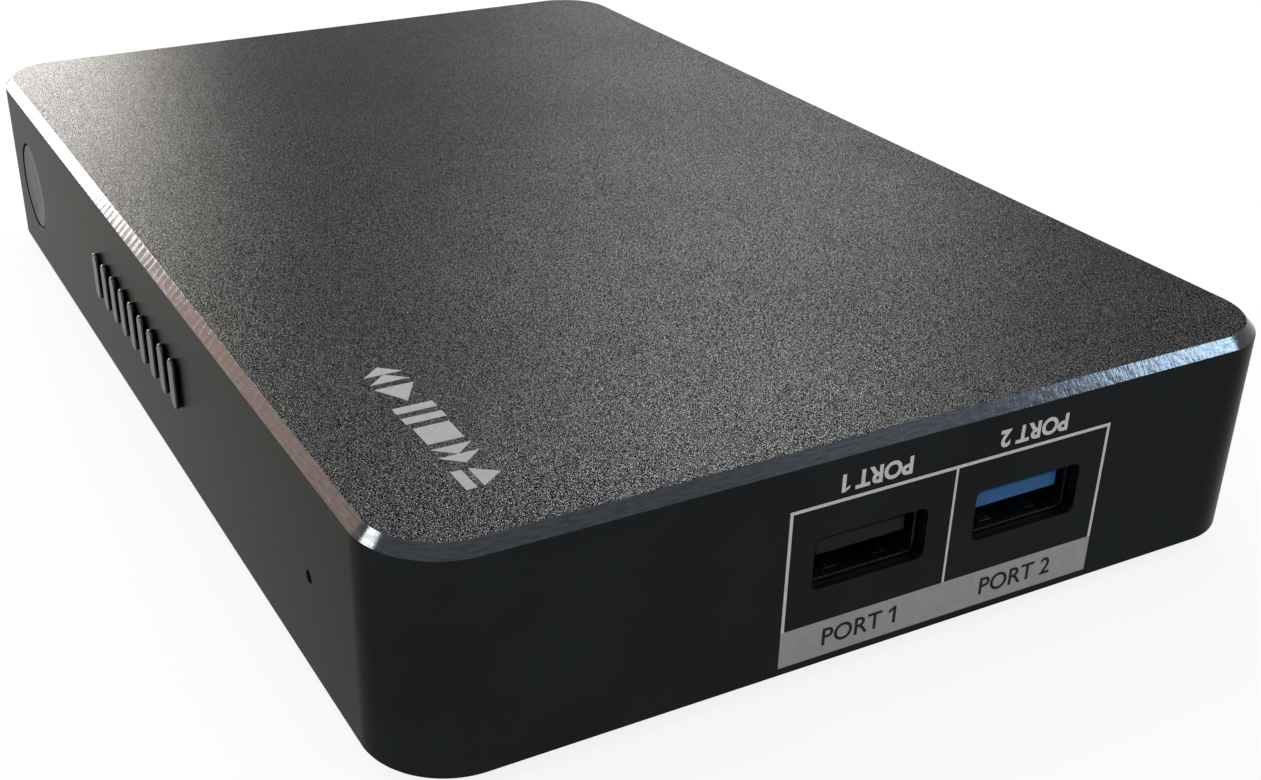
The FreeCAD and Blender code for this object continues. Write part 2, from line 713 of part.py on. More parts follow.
def small_parts():
    """Chips, capacitors, coils and the clock crystal."""
    memory = [block("9", "13", "1.1", f"{BOARD_RIGHT} - 9.4", f"-{BOARD_BACK} + {dy}",
                    BOARD_TOP) for dy in (16, 31)]
    keep(group(*memory), "memory_chips")
    row_y = f"({CHIP_Y} + 28)"
    keep(block("9", "10", "1.1", f"{SOCKET_BACK} + {ROOM} * 0.16", f"{row_y} - 4", BOARD_TOP), "storage_chip")
    cans = []
    for x in ("power_x - 5", "power_x + 3"):
        y = f"{SOCKET_FACE} - 20"
        foot = block("6.6", "6.6", "0.8", x, y, BOARD_TOP)
        cans.append(fuse(foot, rounded(rod("3.15", "7", x, y, f"{BOARD_TOP} + 0.8"), "0.4",
                                       at_level("z", f"{BOARD_TOP} + 7.8"))))
    keep(group(*cans), "capacitors")
    coils = [rounded(block("7", "7", "3", f"{SOCKET_BACK} + {ROOM} * {share}", f"{row_y} - 2", BOARD_TOP),
                     "1", along("z"))
             for share in (0.54, 0.84)]
    keep(group(*coils), "power_coils")
    keep(rounded(block("5", "3.2", "1", f"{SOCKET_BACK} + {ROOM} * 0.7", f"{row_y} - 9", BOARD_TOP), "0.6",
                 along("z")),
         "clock_crystal")


def clock_cell():
    """Coin cell for the clock in its holder."""
    x, y = f"{BOARD_RIGHT} - 28.4", f"-{BOARD_BACK} + 12.5"
    holder = rod("11", "3.4", x, y, BOARD_TOP)
    well = rod("10.05", "5", x, y, f"{BOARD_TOP} + 0.8")
    mouth = block("8", "30", "5", x, y, f"{BOARD_TOP} + 2.2")
    keep(cut(holder, well, mouth), "cell_holder")
    keep(rounded(rod("10", "3.2", x, y, f"{BOARD_TOP} + 0.8"), "0.3", at_level("z", f"{BOARD_TOP} + 4")),
         "coin_cell")


def usb_socket(name, y):
    """Sheet-metal shell, the moulding with the tongue, and the contacts under the tongue."""
    width, height = "usb_outer_width - 2 * usb_sheet", "usb_outer_height - 2 * usb_sheet"
    middle = f"{USB_FACE} - usb_shell_depth / 2"
    shell = rounded(block("usb_shell_depth", "usb_outer_width", "usb_outer_height", middle, y, BOARD_TOP),
                    "usb_sheet + usb_bend", along("x"))
    hollow = rounded(block("usb_shell_depth", width, height, f"{middle} + usb_sheet", y,
                           f"{BOARD_TOP} + usb_sheet"), "usb_bend", along("x"))
    keep(cut(shell, hollow), f"{name}_shell")
    back = f"({USB_FACE} - usb_shell_depth + usb_sheet)"
    root = rounded(block("3.5", width, height, f"{back} + 1.75", y, f"{BOARD_TOP} + usb_sheet"),
                   "usb_bend", along("x"))
    top = f"({BOARD_TOP} + usb_outer_height - usb_sheet - tongue_drop)"
    reach = f"({USB_FACE} - tongue_sink - {back} - 3.5)"
    tongue = block(reach, "tongue_width", "tongue_thick", f"{back} + 3.5 + {reach} / 2", y,
                   f"{top} - tongue_thick")
    keep(fuse(root, rounded(tongue, "0.25", at_level("x", f"{USB_FACE} - tongue_sink"))), f"{name}_tongue")
    long = f"({reach} - 2.6)"
    strips = [block(long, "1", "0.25", f"{back} + 3.5 + {long} / 2", f"{y} + {dy}",
                    f"{top} - tongue_thick - 0.25")
              for dy in (-3.5, -1, 1, 3.5)]
    if name == "usb_three":
        strips += [block("1.2", "0.8", "0.25", f"{USB_FACE} - tongue_sink - 1.3", f"{y} + {dy}",
                         f"{top} - tongue_thick - 0.25") for dy in (-4, -2, 0, 2, 4)]
    keep(group(*strips), f"{name}_contacts")


def screen_outline(grow):
    """Outline of the screen socket seen from the rear wall, wide above and narrow below."""
    half, low, high = f"(7.5 + {grow})", f"({BOARD_TOP} - {grow})", f"({BOARD_TOP} + 5.9 + {grow})"
    foot, bend = f"(5.4 + {grow} / 2)", f"({BOARD_TOP} + 2.6 - {grow} / 2)"
    return [
        (f"screen_x - {foot}", low),
        (f"screen_x + {foot}", low),
        (f"screen_x + {half}", bend),
        (f"screen_x + {half}", high),
        (f"screen_x - {half}", high),
        (f"screen_x - {half}", bend),
    ]


def screen_socket():
    shell = new_body("screen_shell")
    outer = new_sketch(shell, "XZ", f"-{SOCKET_FACE}")
    draw_polygon(outer, screen_outline("0"))
    extrude(shell, "Pad", outer, "11")
    inner = new_sketch(shell, "XZ", f"-{SOCKET_FACE}")
    draw_polygon(inner, screen_outline("-0.35"))
    extrude(shell, "Pocket", inner, "10.6", backwards=True)
    level = f"{BOARD_TOP} + 2.7"
    root = block("12", "2", "3.4", "screen_x", f"{SOCKET_FACE} - 9.6", f"{BOARD_TOP} + 1.9")
    tongue = block("10", "7.6", "1.2", "screen_x", f"{SOCKET_FACE} - 4.8", level)
    keep(fuse(root, tongue), "screen_tongue")


def network_socket():
    x = "network_x"
    housing = block("16", "21", "network_height", x, f"{SOCKET_FACE} - 10.5", BOARD_TOP)
    well = block("12", "13", "7", x, f"{SOCKET_FACE} - 5.5", f"{BOARD_TOP} + 4.4")
    latch = block("6", "13", "3", x, f"{SOCKET_FACE} - 5.5", f"{BOARD_TOP} + 2")
    keep(cut(housing, well, latch), "network_socket")
    strips = [block("0.5", "8", "0.3", f"{x} + {1.02 * (n - 3.5)}", f"{SOCKET_FACE} - 7.5",
                    f"{BOARD_TOP} + 11.1")
              for n in range(8)]
    keep(group(*strips), "network_contacts")


def power_socket():
    x, z = "power_x", f"{BOARD_TOP} + 6.5"
    housing = block("9", "13", "11", x, f"{SOCKET_FACE} - 6.5", BOARD_TOP)
    housing = cut(housing, rod("3.1", "9", x, SOCKET_FACE, z, "-y"))
    keep(housing, "power_socket")
    pin = rod("0.95", "8", x, f"{SOCKET_FACE} - 9", z, "+y")
    keep(rounded(pin, "0.4", at_level("y", f"{SOCKET_FACE} - 1")), "power_pin")


SHUTTER_Y = f"({SOCKET_FACE} - 1)"
SHUTTER_Z = f"({BOARD_TOP} + 5 + 2.5)"


def optical_socket():
    """Optical sound socket with a shutter that the plug swings inward."""
    x, z = "optical_x", f"({BOARD_TOP} + 5)"
    housing = block("9.8", "13", "10", x, f"{SOCKET_FACE} - 6.5", BOARD_TOP)
    well = block("6.4", "10", "6.4", x, f"{SOCKET_FACE} - 4", f"{z} - 3.2")
    pivot = rod("0.7", "8.8", f"{x} - 4.4", SHUTTER_Y, SHUTTER_Z, "+x")
    eye = rod("1.1", "1.5", x, f"{SOCKET_FACE} - 9", z, "-y")
    keep(cut(housing, well, pivot, eye), "optical_socket")
    flap = block("5.8", "0.8", "5.2", x, SHUTTER_Y, f"{SHUTTER_Z} - 5.2")
    pins = rod("0.4", "8.2", f"{x} - 4.1", SHUTTER_Y, SHUTTER_Z, "+x")
    keep(fuse(flap, pins), "optical_shutter")


def remote_socket():
    x, z = "remote_x", f"{BOARD_TOP} + 3"
    housing = block("7", "12", "6", x, f"{SOCKET_FACE} - 6", BOARD_TOP)
    nose = rod("2.8", "wall_thick - 0.4", x, SOCKET_FACE, z, "+y")
    hole = rod("1.8", "12", x, f"{SOCKET_FACE} + wall_thick", z, "-y")
    keep(cut(fuse(housing, nose), hole), "remote_socket")


RADIO_X = f"(-{BOSS_X} + 28.5)"


def radio():
    """Radio module on the rear strip, two flat aerials on the plastic base and their leads."""
    card = block("22", "13", "0.9", RADIO_X, f"{BOARD_BACK} - 8", BOARD_TOP)
    cover = block("15", "11", "1.6", f"{RADIO_X} + 2.5", f"{BOARD_BACK} - 8", f"{BOARD_TOP} + 0.9")
    keep(fuse(card, cover), "radio_module")
    near, far = f"({BOARD_BACK} - 12.5)", f"({BOARD_BACK} - 9)"
    first = block("30", "4", "0.6", f"-{BOSS_X} + 24.5", near, BASE_TOP)
    second = block("30", "4", "0.6", f"-{BOSS_X} + 62.5", far, BASE_TOP)
    keep(group(first, second), "aerials")
    leads = [lead(near, f"(-{BOSS_X} + 9.4)"), lead(far, f"(-{BOSS_X} + 47.4)")]
    keep(group(*leads), "aerial_leads")


def lead(y, end):
    """A thin lead from the radio module over the left edge of the board and along the base."""
    start, drop = f"({RADIO_X} - 6)", f"(-{BOSS_X} + 2.5)"
    high, low = f"({BOARD_TOP} + 1.5)", f"({BASE_TOP} + 0.6)"
    upper = rod("0.5", f"{start} - {drop}", drop, y, high, "+x")
    down = rod("0.5", f"{high} - {low}", drop, y, low)
    lower = rod("0.5", f"{end} - {drop}", drop, y, low, "+x")
    bends = []
    for level in (high, low):
        bend = doc.addObject("Part::Sphere", "bend")
        bend.Radius = 0.5
        bends.append(move(bend, drop, y, level))
    return fuse(upper, down, lower, *bends)


# ---------------------------------------------------------------- drive bay


NOSE_WIDTH, NOSE_HEIGHT = "(plug_width - 1.6)", "(plug_height - 1.6)"


def drive_socket():
    """Socket on the board whose nose enters the plug of the drive."""
    face = f"({DRIVE_END} + board_gap)"
    housing = block("socket_depth", "plug_width", "plug_height", f"{face} + socket_depth / 2", PLUG_Y,
                    BOARD_TOP)
    level = f"({BOARD_TOP} + plug_height / 2)"
    nose = block("plug_depth", NOSE_WIDTH, NOSE_HEIGHT, f"{face} + 0.9 - plug_depth / 2", PLUG_Y,
                 f"{level} - {NOSE_HEIGHT} / 2")
    slot = block("plug_depth + 1", f"{NOSE_WIDTH} - 1.6", "1.8", f"{face} + 1 - plug_depth / 2", PLUG_Y,
                 f"{level} - 0.9")
    keep(cut(fuse(housing, nose), slot), "drive_socket")


def drive_plug():
    """Plug in the end of the drive: a cavity with a thin tongue that bears the contacts."""
    level = f"({DRIVE_LOW} + plug_level)"
    x = f"{DRIVE_END} - plug_depth / 2"
    housing = block("plug_depth", "plug_width", "plug_height", x, PLUG_Y, f"{level} - plug_height / 2")
    well = block("plug_depth", "plug_width - 1", "plug_height - 1", f"{x} + 0.8", PLUG_Y,
                 f"{level} - plug_height / 2 + 0.5")
    tongue = block("plug_depth - 1", f"{NOSE_WIDTH} - 2.4", "1", f"{x} - 0.3", PLUG_Y, f"{level} - 0.5")
    keep(fuse(cut(housing, well), tongue), "drive_plug")
    strips = [block("2.6", "0.8", "0.12", f"{DRIVE_END} - 2.6", f"{PLUG_Y} + {1.27 * n}", f"{level} + 0.5")
              for n in range(-13, 14) if n != -5]
    keep(group(*strips), "plug_contacts")


def drive():
    """Hard drive: cast housing, lid, its board in a recess below, and the screws that hold it."""
    x, y = f"({DRIVE_FRONT} + {DRIVE_END}) / 2", BAY_Y
    housing = block("drive_length", "drive_width", "drive_height - 0.6", x, y, DRIVE_LOW)
    housing = rounded(housing, "2", along("z"))
    recess = block("drive_length * 0.56", "drive_width - 8", "1.4",
                   f"{DRIVE_END} - drive_length * 0.28 - 1.5", y, DRIVE_LOW)
    level = f"{DRIVE_LOW} + plug_level - plug_height / 2"
    notch = block("2 * plug_depth", "plug_width", "plug_height", DRIVE_END, PLUG_Y, level)
    bores = [rod("screw_radius + screw_play", "4", sx, sy, f"{DRIVE_LOW} + drive_screw_level", way)
             for sx, sy, way in drive_bores("drive_width / 2")]
    keep(cut(housing, recess, notch, *bores), "drive_housing")
    lid = block("drive_length - 2", "drive_width - 2", "0.6", x, y, f"{DRIVE_TOP} - 0.6")
    keep(rounded(lid, "2", along("z")), "drive_lid")
    card = block("drive_length * 0.56 - 0.4", "drive_width - 8.4", "1",
                 f"{DRIVE_END} - drive_length * 0.28 - 1.5", y, f"{DRIVE_LOW} + 0.4")
    keep(cut(card, block("2 * plug_depth + 0.2", "plug_width + 0.2", "plug_height", DRIVE_END, PLUG_Y,
                         level)), "drive_board")


def drive_bores(half):
    """Places and ways of the four side screws, at a distance from the middle line of the bay."""
    places = []
    for x in (f"{DRIVE_END} - drive_screw_near", f"{DRIVE_FRONT} + drive_screw_far"):
        places.append((x, f"{BAY_Y} - {half}", "+y"))
        places.append((x, f"{BAY_Y} + {half}", "-y"))
    return places


def drive_screws():
    seat = f"(tray_width / 2 - 1.1)"
    screws = [screw(x, y, f"{DRIVE_LOW} + drive_screw_level", way, "tray_wall - 1.1 + drive_play + 3",
                    head_height="1")
              for x, y, way in drive_bores(seat)]
    keep(group(*screws), "drive_screws")


def tray_frame():
    """Open tray under the drive, with side walls and a front wall against the bezel."""
    length = f"({DRIVE_END} - {BEZEL_BACK})"
    x, y = f"{BEZEL_BACK} + {length} / 2", BAY_Y
    frame = block(length, "tray_width", "tray_floor + drive_height * 0.7", x, y, TRAY_LOW)
    room = block(length, f"tray_width - 2 * tray_wall", "20", f"{x} + tray_front", y, DRIVE_LOW)
    front = block("tray_front", "tray_width", f"{DRIVE_TOP} - {TRAY_LOW}", f"{BEZEL_BACK} + tray_front / 2",
                  y, TRAY_LOW)
    windows = [block("drive_length / 2 - 9", "drive_width - 14", "10", f"{x} + {side} * drive_length / 4",
                     y, f"{TRAY_LOW} - 1")
               for side in (-1, 1)]
    level = f"{DRIVE_LOW} + drive_screw_level"
    bores = []
    for sx, sy, way in drive_bores(f"tray_width / 2"):
        bores.append(rod("screw_radius + screw_play", "tray_wall", sx, sy, level, way))
        bores.append(rod("screw_head_radius + head_play", "1.1", sx, sy, level, way))
    for sy in BEZEL_SCREWS:
        bores.append(rod("screw_radius + screw_play", "tray_front", BEZEL_BACK, sy, BEZEL_SCREW_Z, "+x"))
    keep(cut(fuse(cut(frame, room), front), *windows, *bores), "tray_frame")


HANDLE_X = f"({BEZEL_FACE} + handle_sink + handle_thick / 2)"
PIVOT_Y = f"({BAY_Y} + handle_length / 2 - handle_thick / 2)"
RECESS_DEPTH = "(handle_sink + handle_thick + handle_play)"
LOCK_Y = f"({BAY_Y} + handle_length / 2 + 6.5)"
BEZEL_SCREWS = [f"({BAY_Y} - bezel_width / 2 + 7)", f"({LOCK_Y} - 4)"]
BEZEL_SCREW_Z = f"({DRIVE_TOP} - 3.2)"


def tray_bezel():
    """Front of the tray with the recess of the handle, the slot of the lock and blind screw holes."""
    bezel = block("bezel_thick", "bezel_width", "bezel_height", f"{BEZEL_FACE} + bezel_thick / 2", BAY_Y,
                  f"{BAY_Z} - bezel_height / 2")
    bezel = rounded(bezel, "bezel_round", along("x"))
    wide = "handle_length + 8 + handle_play"
    recess = block(f"2 * {RECESS_DEPTH}", wide, "handle_width + 2 * handle_play", BEZEL_FACE,
                   f"{BAY_Y} - 4 + handle_play / 2", f"{BAY_Z} - handle_width / 2 - handle_play")
    pin = rod("pin_radius + button_play", "bezel_height - 0.6", HANDLE_X, PIVOT_Y,
              f"{BAY_Z} - bezel_height / 2 + 0.6")
    window = block("2 * 2.2", f"4.6 + lock_travel", "3.6", BEZEL_FACE, f"{LOCK_Y} + lock_travel / 2",
                   f"{BAY_Z} - 1.8")
    channel = block("bezel_thick - 2.2", "20", "4.6", f"{BEZEL_BACK} - (bezel_thick - 2.2) / 2",
                    f"{LOCK_Y} - 2.3 + 10",
                    f"{BAY_Z} - 2.3")
    bores = [rod("screw_radius + screw_play", "1.2", BEZEL_BACK, y, BEZEL_SCREW_Z,
                 "-x") for y in BEZEL_SCREWS]
    keep(cut(bezel, recess, pin, window, channel, *bores), "tray_bezel")


def bezel_screws():
    screws = [screw(f"{BEZEL_BACK} + tray_front", y, BEZEL_SCREW_Z, "-x", "tray_front + 1",
                    head_height="0.35")
              for y in BEZEL_SCREWS]
    keep(group(*screws), "bezel_screws")


def tray_handle():
    """Pull handle that swings out of the bezel on an upright pin."""
    reach = f"({PIVOT_Y} - {BAY_Y} + handle_length / 2)"
    bar = block("handle_thick", reach, "handle_width", HANDLE_X, f"{PIVOT_Y} - {reach} / 2",
                f"{BAY_Z} - handle_width / 2")
    knuckle = rod("handle_thick / 2", "handle_width", HANDLE_X, PIVOT_Y, f"{BAY_Z} - handle_width / 2")
    grip = block("handle_thick", "1.4", "handle_width - 2", f"{HANDLE_X} + handle_thick * 0.7",
                 f"{PIVOT_Y} - {reach} + 6",
                 f"{BAY_Z} - handle_width / 2 + 1")
    bore = rod("pin_radius + pin_play", "handle_width", HANDLE_X, PIVOT_Y, f"{BAY_Z} - handle_width / 2")
    keep(cut(fuse(bar, knuckle), grip, bore), "tray_handle")
    pin = rod("pin_radius", "bezel_height - 1.4", HANDLE_X, PIVOT_Y, f"{BAY_Z} - bezel_height / 2 + 0.9")
    keep(pin, "handle_pin")


def lock_slider():
    """Thumb slide whose bolt moves out behind the left wall and holds the tray shut."""
    bolt_y = f"{LOCK_Y} - 2"
    span = f"({BAY_Y} + bezel_width / 2 - 0.2 - ({bolt_y}))"
    bolt = block("bezel_thick - 2.8", span, "4", f"{BEZEL_BACK} - 0.3 - (bezel_thick - 2.8) / 2",
                 f"{bolt_y} + {span} / 2", f"{BAY_Z} - 2")
    thumb = block("2.5", "4", "3", f"{BEZEL_FACE} + 0.2 + 1.25", LOCK_Y, f"{BAY_Z} - 1.5")
    ribs = [block("0.6", "0.5", "4", f"{BEZEL_FACE} + 0.2", f"{LOCK_Y} + {dy}",
                  f"{BAY_Z} - 2") for dy in (-1, 0, 1)]
    keep(cut(fuse(bolt, thumb), *ribs), "lock_slider")


def drive_cage():
    """Folded sheet around the bay, open at both ends, with windows in its four sides."""
    length = f"({CAGE_END} - {CAGE_FRONT})"
    x, y = f"{CAGE_FRONT} + {length} / 2", BAY_Y
    high = f"({CAGE_TOP} - {CAGE_LOW})"
    tube = block(length, "cage_width", high, x, y, CAGE_LOW)
    room = block(f"{length} + 2", f"cage_width - 2 * cage_sheet", f"{high} - 2 * cage_sheet", x, y,
                 f"{CAGE_LOW} + cage_sheet")
    windows = []
    for side in (-1, 1):
        middle = f"{x} + {side} * {length} / 4"
        windows.append(block(f"{length} / 2 - 14", f"cage_width - 24", f"{high} * 3", middle, y,
                             f"{CAGE_LOW} - {high}"))
        windows.append(block(f"{length} / 2 - 14", f"cage_width + 2", f"{high} - 8", middle, y,
                             f"{CAGE_LOW} + 4"))
    bores = [rod("screw_radius + screw_play", "cage_sheet", sx, sy, CAGE_LOW) for sx, sy in CAGE_SCREWS]
    keep(cut(tube, room, *windows, *bores), "drive_cage")


def cage_screws():
    seat = f"{BASE_LOW} + screw_head_height"
    depth = f"{CAGE_LOW} + cage_sheet - part_gap - ({seat})"
    keep(group(*[screw(x, y, seat, "+z", depth) for x, y in CAGE_SCREWS]), "cage_screws")


# ---------------------------------------------------------------- build and export


top_case()
base_cover()
rubber_feet()
case_screws()
badge_bars()
power_button()
button_switch()
button_bracket()
button_ribbon()
status_light()
main_board()
board_screws()
processor()
small_parts()
clock_cell()
for port, place in PORTS.items():
    usb_socket(port, place)
screen_socket()
network_socket()
power_socket()
optical_socket()
remote_socket()
radio()
drive_socket()
drive_plug()
drive()
drive_screws()
tray_frame()
tray_bezel()
bezel_screws()
tray_handle()
lock_slider()
drive_cage()
cage_screws()
doc.recompute()

for thing in doc.Objects:
    if "Invalid" in thing.State or "Error" in thing.State:
        raise RuntimeError(f"{thing.Label} did not compute: {thing.State}")
os.makedirs("parts", exist_ok=True)
for piece in PIECES:
    if piece.Shape.isNull() or not piece.Shape.isValid():
        raise RuntimeError(f"{piece.Label} has no valid shape")
    piece.Shape.exportStep(f"parts/{piece.Label}.step")
    print(f"{piece.Label}: {len(piece.Shape.Solids)} solid(s), {piece.Shape.Volume:.1f} mm3")
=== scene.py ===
"""A small aluminium media player with a slide-out hard drive tray, finished and lit on a pale studio floor."""

import json
from math import atan2, pi, radians

import bmesh
import bpy
from mathutils import Matrix, Vector

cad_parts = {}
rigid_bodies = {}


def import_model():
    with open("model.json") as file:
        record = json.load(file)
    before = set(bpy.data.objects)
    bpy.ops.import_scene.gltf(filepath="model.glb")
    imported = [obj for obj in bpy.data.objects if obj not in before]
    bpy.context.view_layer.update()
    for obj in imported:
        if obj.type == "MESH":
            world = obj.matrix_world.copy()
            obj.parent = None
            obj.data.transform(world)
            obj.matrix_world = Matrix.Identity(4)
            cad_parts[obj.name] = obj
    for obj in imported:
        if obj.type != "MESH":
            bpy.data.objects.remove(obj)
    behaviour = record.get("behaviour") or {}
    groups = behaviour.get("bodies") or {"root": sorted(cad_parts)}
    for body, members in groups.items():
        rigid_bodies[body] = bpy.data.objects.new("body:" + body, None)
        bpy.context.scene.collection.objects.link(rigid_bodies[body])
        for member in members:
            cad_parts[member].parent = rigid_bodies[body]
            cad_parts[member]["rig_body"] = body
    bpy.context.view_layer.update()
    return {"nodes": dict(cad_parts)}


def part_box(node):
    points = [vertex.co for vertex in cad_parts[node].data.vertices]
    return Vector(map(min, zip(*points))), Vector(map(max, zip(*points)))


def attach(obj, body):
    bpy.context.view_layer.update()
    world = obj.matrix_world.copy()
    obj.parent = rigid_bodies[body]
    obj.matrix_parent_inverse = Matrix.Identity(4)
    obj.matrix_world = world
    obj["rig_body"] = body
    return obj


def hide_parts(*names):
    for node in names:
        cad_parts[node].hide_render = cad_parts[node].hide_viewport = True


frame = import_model()
scene = bpy.context.scene
scene.view_settings.view_transform = "Standard"

MM = 0.001
INK = 0.03  # thickness of one layer of printed ink, in millimetres
FRONT, BACK, SIDE, ROOF, FOOT = -53.5, 53.5, 82.0, 27.0, 2.0
WALL = 2.0  # thickness of the case
CORNER, EDGE = 9.0, 1.2  # corner radius and width of the cut edge round the roof
WALL_FACE = SIDE - 2 * INK  # the metal itself, under two layers of ink
ROOF_FACE = ROOF - INK
BUTTON_X, BUTTON_Z = -61.8, 13.5
PORT_Y, PORT_Z = (-2.2, 17.8), 14.2  # the two side ports
WALL_CUT, REAR_CUT = 6.0, 50.0  # depth of a cut through a wall, and where one through the rear wall starts
LID = 19.85  # top of the drive's lid
PLAIN_WHITE = (1, 1, 1, 1)


# ---------------------------------------------------------------- finishes


def add(tree, kind, inputs=None, **settings):
    """Adds a shader node, links or sets its inputs and returns it."""
    node = tree.nodes.new("ShaderNode" + kind)
    for key, value in settings.items():
        setattr(node, key, value)
    for key, value in (inputs or {}).items():
        if isinstance(value, bpy.types.NodeSocket):
            tree.links.new(value, node.inputs[key])
        else:
            node.inputs[key].default_value = value
    return node


def placed(tree, stretch=(1, 1, 1), turn=(0, 0, 0)):
    """Object coordinates in millimetres, stretched and turned for a directional pattern."""
    where = add(tree, "TexCoord").outputs["Object"]
    mapping = {"Vector": where, "Scale": [1000 / s for s in stretch], "Rotation": turn}
    return add(tree, "Mapping", mapping).outputs["Vector"]


def noise(tree, where, size, detail=2.0, rough=0.5):
    """Noise whose grains measure about size millimetres."""
    inputs = {"Vector": where, "Scale": 1 / size, "Detail": detail, "Roughness": rough}
    return add(tree, "TexNoise", inputs).outputs["Fac"]


def blend_colours(tree, factor, dark, light, low=0.35, high=0.65):
    """Runs from one colour to another as factor goes from low to high."""
    ramp = add(tree, "ValToRGB", {"Fac": factor})
    ramp.color_ramp.elements[0].position = low
    ramp.color_ramp.elements[1].position = high
    ramp.color_ramp.elements[0].color = (*dark, 1)
    ramp.color_ramp.elements[1].color = (*light, 1)
    return ramp.outputs["Color"]


def spread(tree, factor, low, high, start=0.3, end=0.7):
    """Runs from low to high as factor goes from start to end."""
    inputs = {"Value": factor, "From Min": start, "From Max": end, "To Min": low, "To Max": high}
    return add(tree, "MapRange", inputs).outputs["Result"]


def new_material(name):
    """A new material with its node tree and its main shader."""
    material = bpy.data.materials.new(name)
    material.use_nodes = True
    return material, material.node_tree, material.node_tree.nodes["Principled BSDF"]


def raised(tree, shader, heights, distance, strength=1.0):
    """Relief on the surface, this many millimetres high."""
    bump = add(tree, "Bump", {"Height": heights, "Distance": distance * MM, "Strength": strength})
    tree.links.new(bump.outputs["Normal"], shader.inputs["Normal"])


def finish(name, colour, rough, metal=0.0, tone=0.12, patch=6.0, grain=0.3, height=0.01, stretch=(1, 1, 1),
           polish=0.06, **shader_inputs):
    """A moulded, painted or machined surface: colour in soft patches, uneven polish and a fine grain."""
    material, tree, shader = new_material(name)
    where = placed(tree, stretch)
    patches = noise(tree, where, patch, 4.0, 0.6)
    grains = noise(tree, where, grain, 3.0, 0.55)
    dark, light = [c * (1 - tone) for c in colour], [min(1, c * (1 + tone)) for c in colour]
    tree.links.new(blend_colours(tree, patches, dark, light), shader.inputs["Base Color"])
    gloss = spread(tree, grains, max(0.02, rough - polish), min(1, rough + polish))
    tree.links.new(gloss, shader.inputs["Roughness"])
    raised(tree, shader, grains, height)
    shader.inputs["Metallic"].default_value = metal
    for key, value in shader_inputs.items():
        shader.inputs[key.replace("_", " ")].default_value = value
    return material


def blasted_metal():
    """Dark anodised aluminium, blasted with beads: coarse bright grains over a fine matt ground."""
    material, tree, shader = new_material("blasted_dark_metal")
    where = placed(tree, turn=(0.61, 0.37, 0.83))  # so that no layer of the pattern lies flat in the roof
    coarse = noise(tree, where, 0.12, 1.0, 0.5)
    fine = noise(tree, where, 0.09, 1.0, 0.5)
    patches = noise(tree, where, 30.0, 2.0, 0.5)
    ground = blend_colours(tree, patches, (0.0216, 0.0223, 0.0219), (0.0246, 0.0252, 0.0249))
    sparkle = spread(tree, coarse, 0.3, 13.6, 0.485, 0.78)
    tinted = add(tree, "VectorMath", {0: ground, "Scale": sparkle}, operation="SCALE").outputs[0]
    tree.links.new(tinted, shader.inputs["Base Color"])
    tree.links.new(spread(tree, fine, 0.2, 0.32), shader.inputs["Roughness"])
    heights = add(tree, "Math", {0: coarse, 1: fine}, operation="ADD").outputs[0]
    raised(tree, shader, heights, 0.022, 0.9)
    shader.inputs["Metallic"].default_value = 1.0
    shader.inputs["Specular Tint"].default_value = (0.41, 0.408, 0.406, 1)
    return material


def cut_edge_metal():
    """The bright edge cut round the roof: polished, scuffed, with fine tool marks that run across it."""
    material, tree, shader = new_material("cut_edge_metal")
    run = add(tree, "Attribute", attribute_name="run").outputs["Fac"]
    where = placed(tree)
    apart = add(tree, "SeparateXYZ", {"Vector": where}).outputs
    height, depth = apart["Z"], apart["Y"]

    across = add(tree, "Math", {0: height, 1: 0.06}, operation="MULTIPLY").outputs[0]
    marks_at = add(tree, "CombineXYZ", {"X": run, "Y": across, "Z": 0.0}).outputs["Vector"]
    marks = noise(tree, marks_at, 0.24, 3.0, 0.65)
    waves = noise(tree, marks_at, 2.6, 2.0, 0.5)
    along = add(tree, "Math", {0: run, 1: 0.12}, operation="MULTIPLY").outputs[0]
    lines_at = add(tree, "CombineXYZ", {"X": along, "Y": height, "Z": 0.0}).outputs["Vector"]
    lines = noise(tree, lines_at, 0.2, 3.0, 0.6)
    scuffs = noise(tree, where, 1.2, 4.0, 0.6)
    streaks = blend_colours(tree, lines, (0.033, 0.0362, 0.0415), (0.051, 0.0552, 0.0635))
    tree.links.new(streaks, shader.inputs["Base Color"])
    tree.links.new(spread(tree, scuffs, 0.07, 0.18), shader.inputs["Roughness"])

    drift = add(tree, "Math", {0: waves, 1: 6.0}, operation="MULTIPLY").outputs[0]
    turns = add(tree, "Math", {0: run, 1: 2 * pi / 1.8, 2: drift}, operation="MULTIPLY_ADD").outputs[0]
    chatter = add(tree, "Math", {0: turns}, operation="SINE").outputs[0]
    on_front = spread(tree, depth, 0.6, 0.0, -52.2, -50.0)
    ripple = add(tree, "Math", {0: chatter, 1: on_front, 2: marks}, operation="MULTIPLY_ADD").outputs[0]
    wear = spread(tree, depth, 0.4, 5.0, -12.0, 34.0)
    both = add(tree, "Math", {0: scuffs, 1: wear, 2: ripple}, operation="MULTIPLY_ADD").outputs[0]
    raised(tree, shader, both, 0.0065)
    shader.inputs["Metallic"].default_value = 1.0
    shader.inputs["Specular Tint"].default_value = (0.87, 0.87, 0.87, 1)
    return material


